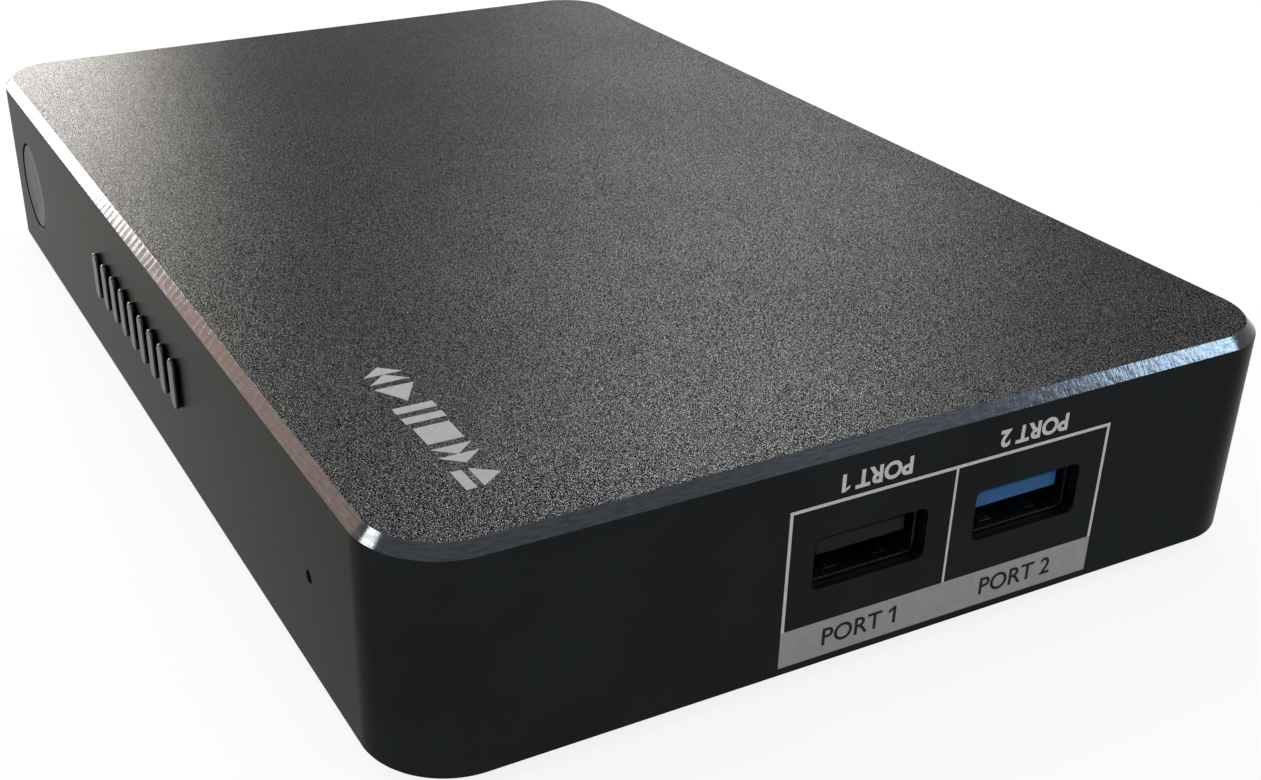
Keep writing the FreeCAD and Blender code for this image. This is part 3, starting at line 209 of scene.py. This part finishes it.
def spun_metal(name, colour, centre, rough, step=0.12):
    """Metal turned on a lathe about an axis that runs along Y: fine rings round the centre."""
    material, tree, shader = new_material(name)
    where = placed(tree)
    local = add(tree, "VectorMath", {0: where, 1: centre}, operation="SUBTRACT").outputs[0]
    flat = add(tree, "VectorMath", {0: local, 1: (1, 0, 1)}, operation="MULTIPLY").outputs[0]
    radius = add(tree, "VectorMath", {0: flat}, operation="LENGTH").outputs["Value"]
    outward = {"W": radius, "Scale": 1 / step, "Detail": 2.0}
    rings = add(tree, "TexNoise", outward, noise_dimensions="1D").outputs["Fac"]
    patches = noise(tree, where, 3.0, 3.0)
    dark, light = [c * 0.85 for c in colour], [c * 1.15 for c in colour]
    tree.links.new(blend_colours(tree, patches, dark, light), shader.inputs["Base Color"])
    tree.links.new(spread(tree, rings, rough - 0.06, rough + 0.08), shader.inputs["Roughness"])
    raised(tree, shader, rings, 0.006)
    shader.inputs["Metallic"].default_value = 1.0
    shader.inputs["Specular Tint"].default_value = (0.5, 0.5, 0.5, 1)
    return material


def board_finish():
    """Circuit board: solder mask over rows of tracks, with small bright pads."""
    material, tree, shader = new_material("board_laminate")
    where = placed(tree)
    tracks = add(tree, "TexBrick", {"Vector": where, "Scale": 0.45, "Mortar Size": 0.02, "Color1": (0, 0, 0, 1),
                                    "Color2": (0.1, 0.1, 0.1, 1), "Mortar": PLAIN_WHITE}).outputs["Color"]
    dots = add(tree, "TexVoronoi", {"Vector": where, "Scale": 0.5}).outputs["Distance"]
    pads = spread(tree, dots, 1.0, 0.0, 0.16, 0.2)
    mask = blend_colours(tree, tracks, (0.006, 0.035, 0.018), (0.012, 0.07, 0.035), 0.2, 0.8)
    gold = add(tree, "Mix", {"Factor": pads, "A": mask, "B": (0.62, 0.5, 0.25, 1)}, data_type="RGBA")
    tree.links.new(gold.outputs["Result"], shader.inputs["Base Color"])
    tree.links.new(pads, shader.inputs["Metallic"])
    tree.links.new(spread(tree, noise(tree, where, 0.5), 0.3, 0.5), shader.inputs["Roughness"])
    raised(tree, shader, tracks, 0.03, 0.6)
    return material


ROOF_METAL = blasted_metal()
CUT_METAL = cut_edge_metal()
WALL_METAL = finish("satin_dark_metal", (0.0118, 0.0134, 0.0148), 0.34, 1.0, 0.08, 14.0, 0.16, 0.006,
                    Specular_Tint=(0.56, 0.565, 0.54, 1))
INNER_METAL = finish("inner_dark_metal", (0.012, 0.012, 0.012), 0.5, 1.0, 0.1, 8.0, 0.25, 0.01)
BUTTON_METAL = spun_metal("turned_button_metal", (0.165, 0.165, 0.16), (BUTTON_X, 0, BUTTON_Z), 0.34)
HANDLE_METAL = finish("drawn_handle_metal", (0.16, 0.16, 0.158), 0.34, 1.0, 0.08, 5.0, 0.2, 0.006, (1, 14, 1))
BADGE_METAL = finish("badge_gloss", (0.035, 0.035, 0.034), 0.2, 1.0, 0.1, 1.5, 0.2, 0.004,
                     Specular_Tint=(0.7, 0.7, 0.69, 1))
PORT_GREY = finish("port_print_grey", (0.24, 0.24, 0.227), 0.55, 0.0, 0.06, 1.2, 0.12, 0.004)
LINE_GREY = finish("line_print_grey", (0.46, 0.46, 0.445), 0.5, 0.0, 0.06, 1.0, 0.1, 0.004)
LETTER_BLACK = finish("letter_print_black", (0.008, 0.008, 0.008), 0.6, 0.0, 0.1, 1.0, 0.1, 0.003,
                      Specular_IOR_Level=0.1)
ROOF_PRINT = finish("roof_print_grey", (0.195, 0.196, 0.19), 0.5, 0.0, 0.08, 0.8, 0.25, 0.012)
PIPE = finish("smoked_light_pipe", (0.004, 0.004, 0.0045), 0.85, 0.0, 0.1, 0.6, 0.1, 0.002,
              Specular_IOR_Level=0.0)
BLACK_PLASTIC = finish("moulded_black_plastic", (0.018, 0.018, 0.019), 0.42, 0.0, 0.1, 2.5, 0.18, 0.008)
TONGUE_BLACK = finish("tongue_black", (0.006, 0.006, 0.0065), 0.3, 0.0, 0.08, 1.5, 0.15, 0.004,
                      Specular_IOR_Level=0.08)
TONGUE_BLUE = finish("tongue_blue", (0.006, 0.085, 0.25), 0.34, 0.0, 0.08, 1.5, 0.15, 0.004,
                     Specular_IOR_Level=0.2)
BEZEL_PLASTIC = finish("bezel_plastic", (0.014, 0.014, 0.0145), 0.5, 0.0, 0.08, 4.0, 0.22, 0.012,
                       Specular_IOR_Level=0.3)
BASE_PLASTIC = finish("base_plastic", (0.02, 0.02, 0.0205), 0.55, 0.0, 0.08, 6.0, 0.35, 0.02)
FOOT_RUBBER = finish("foot_rubber", (0.016, 0.016, 0.0155), 0.78, 0.0, 0.12, 2.0, 0.25, 0.02)
SCREW_STEEL = finish("screw_steel", (0.09, 0.09, 0.093), 0.3, 1.0, 0.15, 1.0, 0.12, 0.004)
SHELL_STEEL = finish("shell_steel", (0.2, 0.198, 0.192), 0.26, 1.0, 0.1, 2.0, 0.4, 0.002, (6, 1, 1), 0.02)
CAGE_STEEL = finish("cage_steel", (0.34, 0.345, 0.34), 0.4, 1.0, 0.16, 3.5, 0.5, 0.008)
CELL_STEEL = finish("cell_steel", (0.5, 0.5, 0.49), 0.25, 1.0, 0.08, 3.0, 0.2, 0.003)
CAST_METAL = finish("cast_metal", (0.27, 0.27, 0.27), 0.46, 1.0, 0.12, 4.0, 0.35, 0.02)
LID_METAL = finish("brushed_lid_metal", (0.5, 0.5, 0.495), 0.3, 1.0, 0.06, 8.0, 0.22, 0.006, (10, 1, 1))
CAN_METAL = finish("can_metal", (0.48, 0.48, 0.47), 0.3, 1.0, 0.08, 2.0, 0.2, 0.004)
CONTACT_GOLD = finish("contact_gold", (0.72, 0.5, 0.2), 0.24, 1.0, 0.08, 0.8, 0.1, 0.002)
BOARD = board_finish()
CHIP_BLACK = finish("chip_black", (0.014, 0.014, 0.015), 0.5, 0.0, 0.15, 1.5, 0.2, 0.008)
PAD_GREY = finish("pad_grey", (0.3, 0.31, 0.33), 0.8, 0.0, 0.08, 2.0, 0.3, 0.02)
HEAT_METAL = finish("heat_spreader_metal", (0.1, 0.1, 0.105), 0.42, 1.0, 0.08, 4.0, 0.2, 0.01, (8, 1, 1))
LAMP_WHITE = finish("lamp_white", (0.7, 0.7, 0.66), 0.3, 0.0, 0.05, 0.8, 0.1, 0.003)
RIBBON = finish("ribbon_film", (0.34, 0.26, 0.1), 0.35, 0.0, 0.2, 2.0, 0.3, 0.01, (12, 1, 1))
LEAD_SHEATH = finish("lead_sheath", (0.03, 0.03, 0.03), 0.45, 0.0, 0.1, 2.0, 0.2, 0.01)
LABEL_PAPER = finish("label_paper", (0.62, 0.62, 0.6), 0.5, 0.0, 0.05, 6.0, 0.2, 0.01)

NODE_FINISH = {  # the finish that stands for each slot of the record
    "case_metal": WALL_METAL, "button_metal": HANDLE_METAL, "base_plastic": BASE_PLASTIC,
    "foot_rubber": FOOT_RUBBER, "badge_gloss": BADGE_METAL, "pipe_smoke": PIPE, "lamp_white": LAMP_WHITE,
    "screw_steel": SCREW_STEEL, "black_plastic": BLACK_PLASTIC, "blue_plastic": TONGUE_BLUE,
    "bezel_plastic": BEZEL_PLASTIC, "board_laminate": BOARD, "chip_black": CHIP_BLACK,
    "heat_metal": HEAT_METAL, "pad_grey": PAD_GREY, "bare_metal": CAN_METAL, "shell_steel": SHELL_STEEL,
    "contact_gold": CONTACT_GOLD, "cell_steel": CELL_STEEL, "ribbon_film": RIBBON,
    "lead_sheath": LEAD_SHEATH, "cage_steel": CAGE_STEEL, "cast_metal": CAST_METAL,
}


# ---------------------------------------------------------------- making pieces, in millimetres


def slot_of(node):
    """The name of the record's material slot that a CAD node has."""
    return frame["nodes"][node].data.materials[0].name.split(".")[0]


def block(bm, low, high):
    """A rectangular block between two corners."""
    low, high = Vector(low), Vector(high)
    verts = bmesh.ops.create_cube(bm, size=1)["verts"]
    bmesh.ops.scale(bm, vec=high - low, verts=verts)
    bmesh.ops.translate(bm, vec=(low + high) / 2, verts=verts)
    return verts


def rod(bm, radius, start, end, sides=48):
    """A round rod from one point to another along X, Y or Z."""
    start, end = Vector(start), Vector(end)
    turn = Vector((0, 0, 1)).rotation_difference(end - start).to_matrix().to_4x4()
    place = Matrix.Translation((start + end) / 2) @ turn
    return bmesh.ops.create_cone(bm, cap_ends=True, segments=sides, radius1=radius, radius2=radius,
                                 depth=(end - start).length, matrix=place)["verts"]


def edges_along(verts, axis):
    """The edges of these vertices that run along one axis, 0, 1 or 2."""
    edges = {e for v in verts for e in v.link_edges}
    others = [a for a in range(3) if a != axis]
    return [e for e in edges if all(abs(e.verts[0].co[a] - e.verts[1].co[a]) < 1e-5 for a in others)]


def soften(bm, edges, width, steps=4):
    """Rounds edges over, or cuts them flat with one step."""
    bmesh.ops.bevel(bm, geom=list(edges), offset=width, offset_type="OFFSET", affect="EDGES",
                    segments=steps, profile=0.5, material=-1, clamp_overlap=True)


def pushed(bm, grown, way):
    """Moves the new corners of an extrusion away from the old ones."""
    corners = [g for g in grown if isinstance(g, bmesh.types.BMVert)]
    bmesh.ops.translate(bm, vec=way, verts=corners)


def held(bm, name="blank"):
    """A plain object made from a bmesh, which is used up."""
    mesh = bpy.data.meshes.new(name)
    bm.to_mesh(mesh)
    bm.free()
    thing = bpy.data.objects.new(name, mesh)
    scene.collection.objects.link(thing)
    return thing


def machined(blank, *cuts):
    """The blank with each of the cuts taken out of it in turn."""
    work = held(blank)
    tools = [held(cut, "tool") for cut in cuts]
    for tool in tools:
        step = work.modifiers.new("cut", "BOOLEAN")
        step.operation, step.solver, step.object = "DIFFERENCE", "EXACT", tool
    bpy.context.view_layer.update()
    result = bmesh.new()
    result.from_object(work, bpy.context.evaluated_depsgraph_get())
    for thing in [work, *tools]:
        bpy.data.objects.remove(thing)
    return result


def finished(bm, name, finishes, body, stands_for=(), edge=0.0, steps=2, crease=32):
    """Brings a piece to metres, turns its faces outward, gives it its finishes and lets it ride on its body."""
    bmesh.ops.scale(bm, vec=(MM, MM, MM), verts=bm.verts)
    bmesh.ops.recalc_face_normals(bm, faces=bm.faces)
    piece = held(bm, name)
    for material in finishes:
        piece.data.materials.append(material)
    piece.data.shade_smooth()
    if edge:
        round_off = piece.modifiers.new("broken_edges", "BEVEL")
        round_off.width, round_off.segments, round_off.limit_method = edge * MM, steps, "ANGLE"
        round_off.angle_limit = radians(crease)
        piece.modifiers.new("flat_faces", "WEIGHTED_NORMAL").keep_sharp = True
    else:
        piece.data.set_sharp_from_angle(angle=radians(crease))
    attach(piece, body)
    if stands_for:
        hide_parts(*stands_for)


def dressed(node, material=None, edge=0.12, steps=2):
    """A finer copy of a CAD node: doubles merged, flat faces joined up, edges broken."""
    source = frame["nodes"][node]
    bm = bmesh.new()
    bm.from_mesh(source.data)
    bmesh.ops.remove_doubles(bm, verts=bm.verts, dist=1e-6)
    bmesh.ops.dissolve_limit(bm, angle_limit=radians(0.8), verts=bm.verts, edges=bm.edges)
    bmesh.ops.scale(bm, vec=(1 / MM,) * 3, verts=bm.verts)
    slot = slot_of(node)
    finished(bm, node + "_finish", [material or NODE_FINISH[slot]], source["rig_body"], [node], edge,
             steps)


# ---------------------------------------------------------------- case


def run_round(x, y):
    """How far a point on the case lies along its outline, from the middle of the front."""
    half_x, half_y, arc = SIDE - CORNER, BACK - CORNER, CORNER * pi / 2
    over_x, over_y = abs(x) - half_x, abs(y) - half_y
    turn = CORNER * atan2(max(over_x, 0), max(over_y, 0)) if over_y > 0 else arc
    along = min(abs(x), half_x) + turn + max(half_y - abs(y), 0) * (over_y <= 0)
    quarter = half_x + arc + half_y
    if y > 0:
        along = 2 * quarter - along
    return along if x >= 0 else -along


def side_opening(bm, y, z, width, height, start, corner):
    """A window through a side wall, with round corners."""
    low, high = (start, y - width / 2, z - height / 2), (start + WALL_CUT, y + width / 2, z + height / 2)
    soften(bm, edges_along(block(bm, low, high), 0), corner, 5)


def rear_opening(bm, x, z, width, height, corner):
    """A window through the rear wall, with round corners."""
    low = (x - width / 2, REAR_CUT, z - height / 2)
    high = (x + width / 2, REAR_CUT + WALL_CUT, z + height / 2)
    soften(bm, edges_along(block(bm, low, high), 1), corner, 4)


def screen_opening(bm):
    """The window of the screen socket in the rear wall, wide above and narrow below."""
    outline = ((16.4, 10.95), (27.6, 10.95), (29.9, 13.75), (29.9, 17.65), (14.1, 17.65), (14.1, 13.75))
    window = bm.faces.new([bm.verts.new((x, REAR_CUT, z)) for x, z in outline])
    pushed(bm, bmesh.ops.extrude_face_region(bm, geom=[window])["geom"], (0, WALL_CUT, 0))
    bmesh.ops.recalc_face_normals(bm, faces=bm.faces)


def case_hollow():
    """The room inside the case, with the four screw posts left standing."""
    hollow, posts = bmesh.new(), bmesh.new()
    low, high = (WALL - SIDE, FRONT + WALL, 0), (SIDE - WALL, BACK - WALL, ROOF - WALL)
    soften(hollow, edges_along(block(hollow, low, high), 2), CORNER - WALL, 12)
    for x in (-75.5, 75.5):
        for y in (-47, 47):
            rod(posts, 3.6, (x, y, 4.4), (x, y, 26))
    return machined(hollow, posts)


def wall_openings():
    """All that is cut through the walls: button, lamp, side ports, drive bay and rear sockets."""
    holes = bmesh.new()
    rod(holes, 6.6, (BUTTON_X, -56, BUTTON_Z), (BUTTON_X, -50, BUTTON_Z), 96)
    rod(holes, 0.75, (60.9, -56, 13.9), (60.9, -50, 13.9), 32)  # status light
    for y in PORT_Y:
        side_opening(holes, y, PORT_Z, 13.8, 6.0, 78, 0.8)
    side_opening(holes, -3.6, 14.6, 76.6, 13.4, -84, 1.8)  # drive bay
    rod(holes, 4.0, (62, REAR_CUT, 17.85), (62, REAR_CUT + WALL_CUT, 17.85), 64)  # power
    rear_opening(holes, 44, 17.95, 16.8, 14.0, 0.5)  # network
    screen_opening(holes)
    rear_opening(holes, 3, 16.35, 8, 8, 0.4)  # optical
    rod(holes, 3.1, (-12, REAR_CUT, 14.35), (-12, REAR_CUT + WALL_CUT, 14.35), 48)  # remote receiver
    return holes


def is_outside(point):
    """Whether a point lies on the outer skin of the case, flat walls and round corners alike."""
    x, y = abs(point.x), abs(point.y)
    centre_x, centre_y = SIDE - CORNER, BACK - CORNER
    if x > SIDE - 0.9 or y > BACK - 0.9:
        return True
    return x > centre_x and y > centre_y and Vector((x - centre_x, y - centre_y)).length > CORNER - 1.2


def case_shell():
    """The hollow case with its four finishes: blasted roof, bright cut edge, satin walls, dark inside."""
    roof, cut, wall, inside = range(4)
    blank = bmesh.new()
    verts = block(blank, (-WALL_FACE, FRONT + 2 * INK, FOOT), (WALL_FACE, BACK - 2 * INK, ROOF_FACE))
    soften(blank, edges_along(verts, 2), CORNER, 28)
    rim = [e for e in blank.edges if all(v.co.z > ROOF_FACE - 0.01 for v in e.verts)]
    soften(blank, rim, EDGE, 1)
    shell = machined(blank, case_hollow(), wall_openings())

    run = shell.loops.layers.float.new("run")
    for face in shell.faces:
        middle, up = face.calc_center_median(), face.normal.z
        outside = is_outside(middle)
        if middle.z > ROOF_FACE - 0.01 and up > 0.9:
            face.material_index = roof
        elif outside and 0.3 < up < 0.95:
            face.material_index = cut
            for loop in face.loops:
                loop[run] = run_round(loop.vert.co.x, loop.vert.co.y)
        else:
            face.material_index = wall if outside and abs(up) < 0.3 else inside
    finished(shell, "case_shell", [ROOF_METAL, CUT_METAL, WALL_METAL, INNER_METAL], "case",
             ["top_case"], edge=0.05)


def power_button():
    """A dished round button, spun about its own axis, with a flange behind the wall."""
    outline = [(0, -53.0), (2.0, -53.03), (3.7, -53.12), (5.0, -53.24), (5.6, -53.31), (5.9, -53.35),
               (6.1, -53.33), (6.23, -53.26), (6.3, -53.12), (6.3, -51.45), (7.3, -51.45), (7.3, -50.65),
               (1.75, -50.65), (1.75, -50.05), (0, -50.05)]
    bm = bmesh.new()
    verts = [bm.verts.new((BUTTON_X + radius, y, BUTTON_Z)) for radius, y in outline]
    edges = [bm.edges.new(pair) for pair in zip(verts, verts[1:])]
    bmesh.ops.spin(bm, geom=verts + edges, cent=(BUTTON_X, 0, BUTTON_Z), axis=(0, 1, 0), angle=2 * pi,
                   steps=96, use_merge=True)
    bmesh.ops.remove_doubles(bm, verts=bm.verts, dist=1e-4)
    finished(bm, "turned_button", [BUTTON_METAL], "button", ["power_button"], crease=28)


# ---------------------------------------------------------------- printed marks

ON_SIDE = Matrix(((0, 0, 1, 0), (1, 0, 0, 0), (0, 1, 0, 0), (0, 0, 0, 1)))  # right and up become +Y and +Z


def words(text, height, weight):
    """Flat lettering as a bmesh, its middle at the origin and its capitals this tall."""
    curve = bpy.data.curves.new("words", "FONT")
    curve.body, curve.size, curve.offset = text, height / 0.73, height * weight
    curve.align_x, curve.align_y = "CENTER", "CENTER"
    curve.resolution_u = 4
    holder = bpy.data.objects.new("words", curve)
    scene.collection.objects.link(holder)
    bpy.context.view_layer.update()
    mesh = bpy.data.meshes.new_from_object(holder.evaluated_get(bpy.context.evaluated_depsgraph_get()))
    bm = bmesh.new()
    bm.from_mesh(mesh)
    bpy.data.objects.remove(holder)
    bmesh.ops.remove_doubles(bm, verts=bm.verts, dist=1e-4)
    bmesh.ops.scale(bm, vec=(1.02, 1, 1), verts=bm.verts)
    if text.endswith("1"):  # the plain stroke gets a flag, so that it reads as a figure
        end = max(v.co.x for v in bm.verts)
        stem = [v.co for v in bm.verts if v.co.x > end - 0.3 * height]
        left, top = min(c.x for c in stem), max(c.y for c in stem)
        reach, drop = 0.26 * height, 0.17 * height
        patch(bm, [(left - reach, top - 2 * drop), (left, top - drop), (left, top - 0.1 * drop),
                   (left - reach, top - drop)])
    return bm


def patch(bm, points):
    """A flat patch of ink with these corners."""
    bm.faces.new([bm.verts.new((x, y, 0)) for x, y in points])


def bar(bm, left, bottom, right, top):
    """A flat oblong of ink."""
    patch(bm, [(left, bottom), (right, bottom), (right, top), (left, top)])


def printed(bm, name, material, place):
    """Gives flat marks the thickness of ink, with a hidden root in the metal, and sets them in place."""
    thick = INK + 0.01
    pushed(bm, bmesh.ops.extrude_face_region(bm, geom=list(bm.faces))["geom"], (0, 0, thick))
    bmesh.ops.translate(bm, vec=(0, 0, -thick), verts=bm.verts)
    bmesh.ops.transform(bm, matrix=place, verts=bm.verts)
    finished(bm, name, [material], "case")


def port_marks():
    """The grey frame round the two ports, with a plain number for each."""
    left, middle, right, line = -12.2, 7.8, 27.8, 0.18
    low, level, high = 2.9, 7.2, 21.0  # foot and top of the strip, and middle of the upper line
    on_metal = Matrix.Translation((SIDE - INK, 0, 0)) @ ON_SIDE
    lines, strip = bmesh.new(), bmesh.new()
    bar(lines, left - line, level, left + line, high + line)
    bar(lines, left + line, high - line, right - line, high + line)
    bar(lines, right - line, level, right + line, high + line)
    bar(lines, middle - line * 0.8, level, middle + line * 0.8, high - line)
    printed(lines, "port_lines", LINE_GREY, on_metal)
    bar(strip, left - line, low, right + line, level)
    printed(strip, "port_strip", PORT_GREY, on_metal)
    turned = Matrix.Rotation(pi, 4, "Z")
    for number, strip_y, frame_y in (("1", -2.4, -2.5), ("2", 17.8, 17.4)):
        on_strip = Matrix.Translation((SIDE, strip_y, 5.0)) @ ON_SIDE
        printed(words("PORT " + number, 2.15, 0.012), "strip_words_" + number, LETTER_BLACK, on_strip)
        over_frame = Matrix.Translation((SIDE - INK, frame_y, 22.95)) @ ON_SIDE @ turned
        printed(words("PORT " + number, 1.95, 0.045), "frame_words_" + number, LINE_GREY, over_frame)


def roof_marks():
    """A row of playing symbols: back, play, pause, stop, forward and eject."""
    tall, wide, gap = 4.3, 3.6, 1.05
    bm = bmesh.new()
    x = 0.0
    patch(bm, [(x + wide / 2, 0), (x + wide / 2, tall), (x, tall / 2)])
    patch(bm, [(x + wide, 0), (x + wide, tall), (x + wide / 2, tall / 2)])
    x += wide + gap
    patch(bm, [(x, 0), (x + wide, tall / 2), (x, tall)])
    x += wide + gap
    bar(bm, x, 0, x + wide * 0.36, tall)
    bar(bm, x + wide * 0.64, 0, x + wide, tall)
    x += wide + gap
    bar(bm, x, 0.25, x + wide, tall - 0.25)
    x += wide + gap
    patch(bm, [(x, 0), (x + wide / 2, tall / 2), (x, tall)])
    patch(bm, [(x + wide / 2, 0), (x + wide, tall / 2), (x + wide / 2, tall)])
    x += wide + gap
    bar(bm, x, 0, x + wide, tall * 0.26)
    patch(bm, [(x, tall * 0.42), (x + wide, tall * 0.42), (x + wide / 2, tall)])
    printed(bm, "roof_symbols", ROOF_PRINT, Matrix.Translation((46.3, -42.0, ROOF)))


# ---------------------------------------------------------------- side ports


def spring_leaf(bm, mouth_x, y, z, way):
    """A bent strip of sheet steel that reaches back from the mouth of a port; way is 1 up or -1 down."""
    bends = ((1.0, 0.0), (2.2, 0.26), (3.6, 0.42), (5.6, 0.1))  # depth behind the mouth, and lift
    leaf = [bm.verts.new((mouth_x - depth, y - 0.8, z + way * lift)) for depth, lift in bends]
    line = [bm.edges.new(pair) for pair in zip(leaf, leaf[1:])]
    grown = bmesh.ops.extrude_edge_only(bm, edges=line)["geom"]
    pushed(bm, grown, (0, 1.6, 0))
    sheet = [g for g in grown if isinstance(g, bmesh.types.BMFace)]
    bmesh.ops.solidify(bm, geom=sheet, thickness=0.12)


def port_shell(name, node):
    """A folded steel shell, open at the front, with spring leaves in its floor and roof."""
    low, high = [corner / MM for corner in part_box(node)]
    bm = bmesh.new()
    soften(bm, edges_along(block(bm, low, high), 0), 0.55, 4)
    bmesh.ops.delete(bm, geom=[f for f in bm.faces if f.normal.x > 0.9], context="FACES_ONLY")
    bmesh.ops.solidify(bm, geom=list(bm.faces), thickness=0.3)
    for side in (-1, 1):
        for z, way in ((low.z + 0.32, 1), (high.z - 0.32, -1)):
            spring_leaf(bm, high.x, (low.y + high.y) / 2 + side * 3.1, z, way)
    finished(bm, name, [SHELL_STEEL], "case", [node], crease=40)


# ---------------------------------------------------------------- drive lid


def lid_fittings():
    """What sits on the lid of the drive: a pressed ring, a blank label and the screws that hold it down."""
    ring, middle = bmesh.new(), bmesh.new()
    rod(ring, 29.0, (-38.0, -3.6, LID - 0.05), (-38.0, -3.6, LID + 0.16), 128)
    rod(middle, 27.8, (-38.0, -3.6, LID - 0.2), (-38.0, -3.6, LID + 0.4), 128)
    finished(machined(ring, middle), "lid_ring", [LID_METAL], "tray", edge=0.07)
    paper = bmesh.new()
    block(paper, (-5.0, -27.0, LID - 0.02), (16.5, 19.8, LID + 0.08))
    soften(paper, edges_along(paper.verts, 2), 1.2)
    finished(paper, "blank_label", [LABEL_PAPER], "tray")
    heads, sockets = bmesh.new(), bmesh.new()
    for x in (-70.6, -8.0, 20.2):
        for y in (-33.8, 26.6):
            rod(heads, 2.0, (x, y, LID - 0.05), (x, y, LID + 0.3), 32)
            rod(sockets, 0.95, (x, y, LID + 0.08), (x, y, LID + 0.5), 6)
    finished(machined(heads, sockets), "lid_screws", [SCREW_STEEL], "tray", edge=0.08)


# ---------------------------------------------------------------- put the pieces on the frame

case_shell()
power_button()
port_marks()
roof_marks()
port_shell("port_one_shell", "usb_two_shell")
port_shell("port_two_shell", "usb_three_shell")

dressed("badge_bars", edge=0.16, steps=3)
dressed("light_pipe", edge=0.08)
dressed("usb_two_tongue", TONGUE_BLACK)
dressed("usb_three_tongue", TONGUE_BLUE)
dressed("tray_bezel", edge=0.3, steps=3)
dressed("tray_handle", edge=0.25, steps=3)
dressed("lock_slider", edge=0.15)
dressed("tray_frame", edge=0.15)
dressed("base_cover", edge=0.15)
dressed("rubber_feet", edge=0.3, steps=3)
dressed("drive_housing", edge=0.3)
dressed("drive_lid", LID_METAL, 0.15)
lid_fittings()
for socket in ("network_socket", "power_socket", "optical_socket", "remote_socket", "optical_shutter",
               "screen_shell", "screen_tongue", "network_contacts", "power_pin"):
    dressed(socket, edge=0.1)
for fastener in ("case_screws", "cage_screws", "bezel_screws", "drive_screws", "handle_pin"):
    dressed(fastener, edge=0.06)

for node, part in frame["nodes"].items():
    material = NODE_FINISH[slot_of(node)]
    for index in range(len(part.data.materials)):
        part.data.materials[index] = material


# ---------------------------------------------------------------- floor, light and camera


def is_seen(tree):
    """1 on a ray that shows the background, straight, in a gloss or through glass; 0 on one that lights."""
    rays = add(tree, "LightPath").outputs
    seen = rays["Is Camera Ray"]
    for other in ("Is Glossy Ray", "Is Transmission Ray"):
        seen = add(tree, "Math", {0: seen, 1: rays[other]}, operation="MAXIMUM").outputs[0]
    return seen


def studio_floor():
    """A pale matt floor that looks nearly white and keeps the shadow of the object."""
    material, tree, _ = new_material("pale_floor")
    tree.nodes.clear()
    pale, glow_share = 0.86, 0.86
    share = add(tree, "Math", {0: is_seen(tree), 1: glow_share}, operation="MULTIPLY").outputs[0]
    paint = add(tree, "BsdfDiffuse", {"Color": (pale, pale, pale, 1)}).outputs[0]
    glow = add(tree, "Emission", {"Color": PLAIN_WHITE, "Strength": 1.0}).outputs[0]
    both = add(tree, "MixShader", {0: share, 1: paint, 2: glow}).outputs[0]
    add(tree, "OutputMaterial", {"Surface": both})
    bm = bmesh.new()
    bmesh.ops.create_grid(bm, x_segments=1, y_segments=1, size=6.0)
    floor = held(bm, "studio_floor")
    floor.data.materials.append(material)


def studio_world():
    """An even white room: soft as a light, plain white as a background."""
    world = bpy.data.worlds.new("studio_world")
    world.use_nodes = True
    tree = world.node_tree
    tree.nodes.clear()
    strength = spread(tree, is_seen(tree), 0.55, 1.0, 0.0, 1.0)
    sky = add(tree, "Background", {"Color": PLAIN_WHITE, "Strength": strength}).outputs[0]
    add(tree, "OutputWorld", {"Surface": sky})
    scene.world = world


def softbox(name, place, aim, width, height, radiance, colour=(1, 1, 1)):
    """A rectangular lamp of even brightness; radiance is what a mirror would show."""
    lamp = bpy.data.lights.new(name, "AREA")
    lamp.shape, lamp.size, lamp.size_y, lamp.color = "RECTANGLE", width, height, colour
    lamp.energy = radiance * pi * width * height
    holder = bpy.data.objects.new(name, lamp)
    holder.location = place
    holder.rotation_euler = (Vector(aim) - Vector(place)).to_track_quat("-Z", "Y").to_euler()
    scene.collection.objects.link(holder)


def studio_camera():
    """A camera above the corner between front and right, looking down on the roof."""
    lens = bpy.data.cameras.new("camera")
    lens.lens, lens.sensor_width, lens.sensor_fit = 47.524, 36.0, "HORIZONTAL"
    lens.shift_x, lens.shift_y = 0.05058, 0.04758
    lens.clip_start, lens.clip_end = 0.01, 50.0
    camera = bpy.data.objects.new("camera", lens)
    right = Vector((0.46441065, 0.88559222, 0.00701211))
    up = Vector((-0.43312821, 0.22021496, 0.87401677))
    ahead = Vector((-0.77247828, 0.40893984, -0.48584515))
    camera.matrix_world = Matrix.Translation((0.1914906, -0.0944764, 0.1030069)) @ Matrix((
        right, up, -ahead)).transposed().to_4x4()
    scene.collection.objects.link(camera)
    scene.camera = camera


studio_floor()
studio_world()
softbox("left_panel", (-1.25, -0.14, 0.285), (0, -0.14, 0.02), 0.74, 0.47, 20.8, (1, 0.95, 0.91))
softbox("warm_panel", (-1.02, -0.7, 0.32), (0, 0, 0.02), 0.46, 0.5, 2.3, (1, 0.6, 0.38))
softbox("front_left_lamp", (-0.38, -0.78, 0.55), (0.075, -0.05, 0.026), 0.2, 0.2, 24.0, (1, 0.97, 0.88))
softbox("back_panel", (-0.875, 0.635, 0.475), (0, 0, 0.02), 0.36, 0.34, 7.0)
softbox("back_right_panel", (0.52, 0.82, 0.72), (0.05, 0, 0.02), 0.5, 0.4, 0.5, (0.76, 0.88, 1))
softbox("right_end_lamp", (0.518, 0.945, 0.699), (0.08, 0.04, 0.026), 0.2, 0.18, 21.0, (0.66, 0.87, 1))
softbox("overhead_panel", (0.1, 0.0, 1.5), (0, 0, 0), 1.1, 1.1, 1.3)
studio_camera()
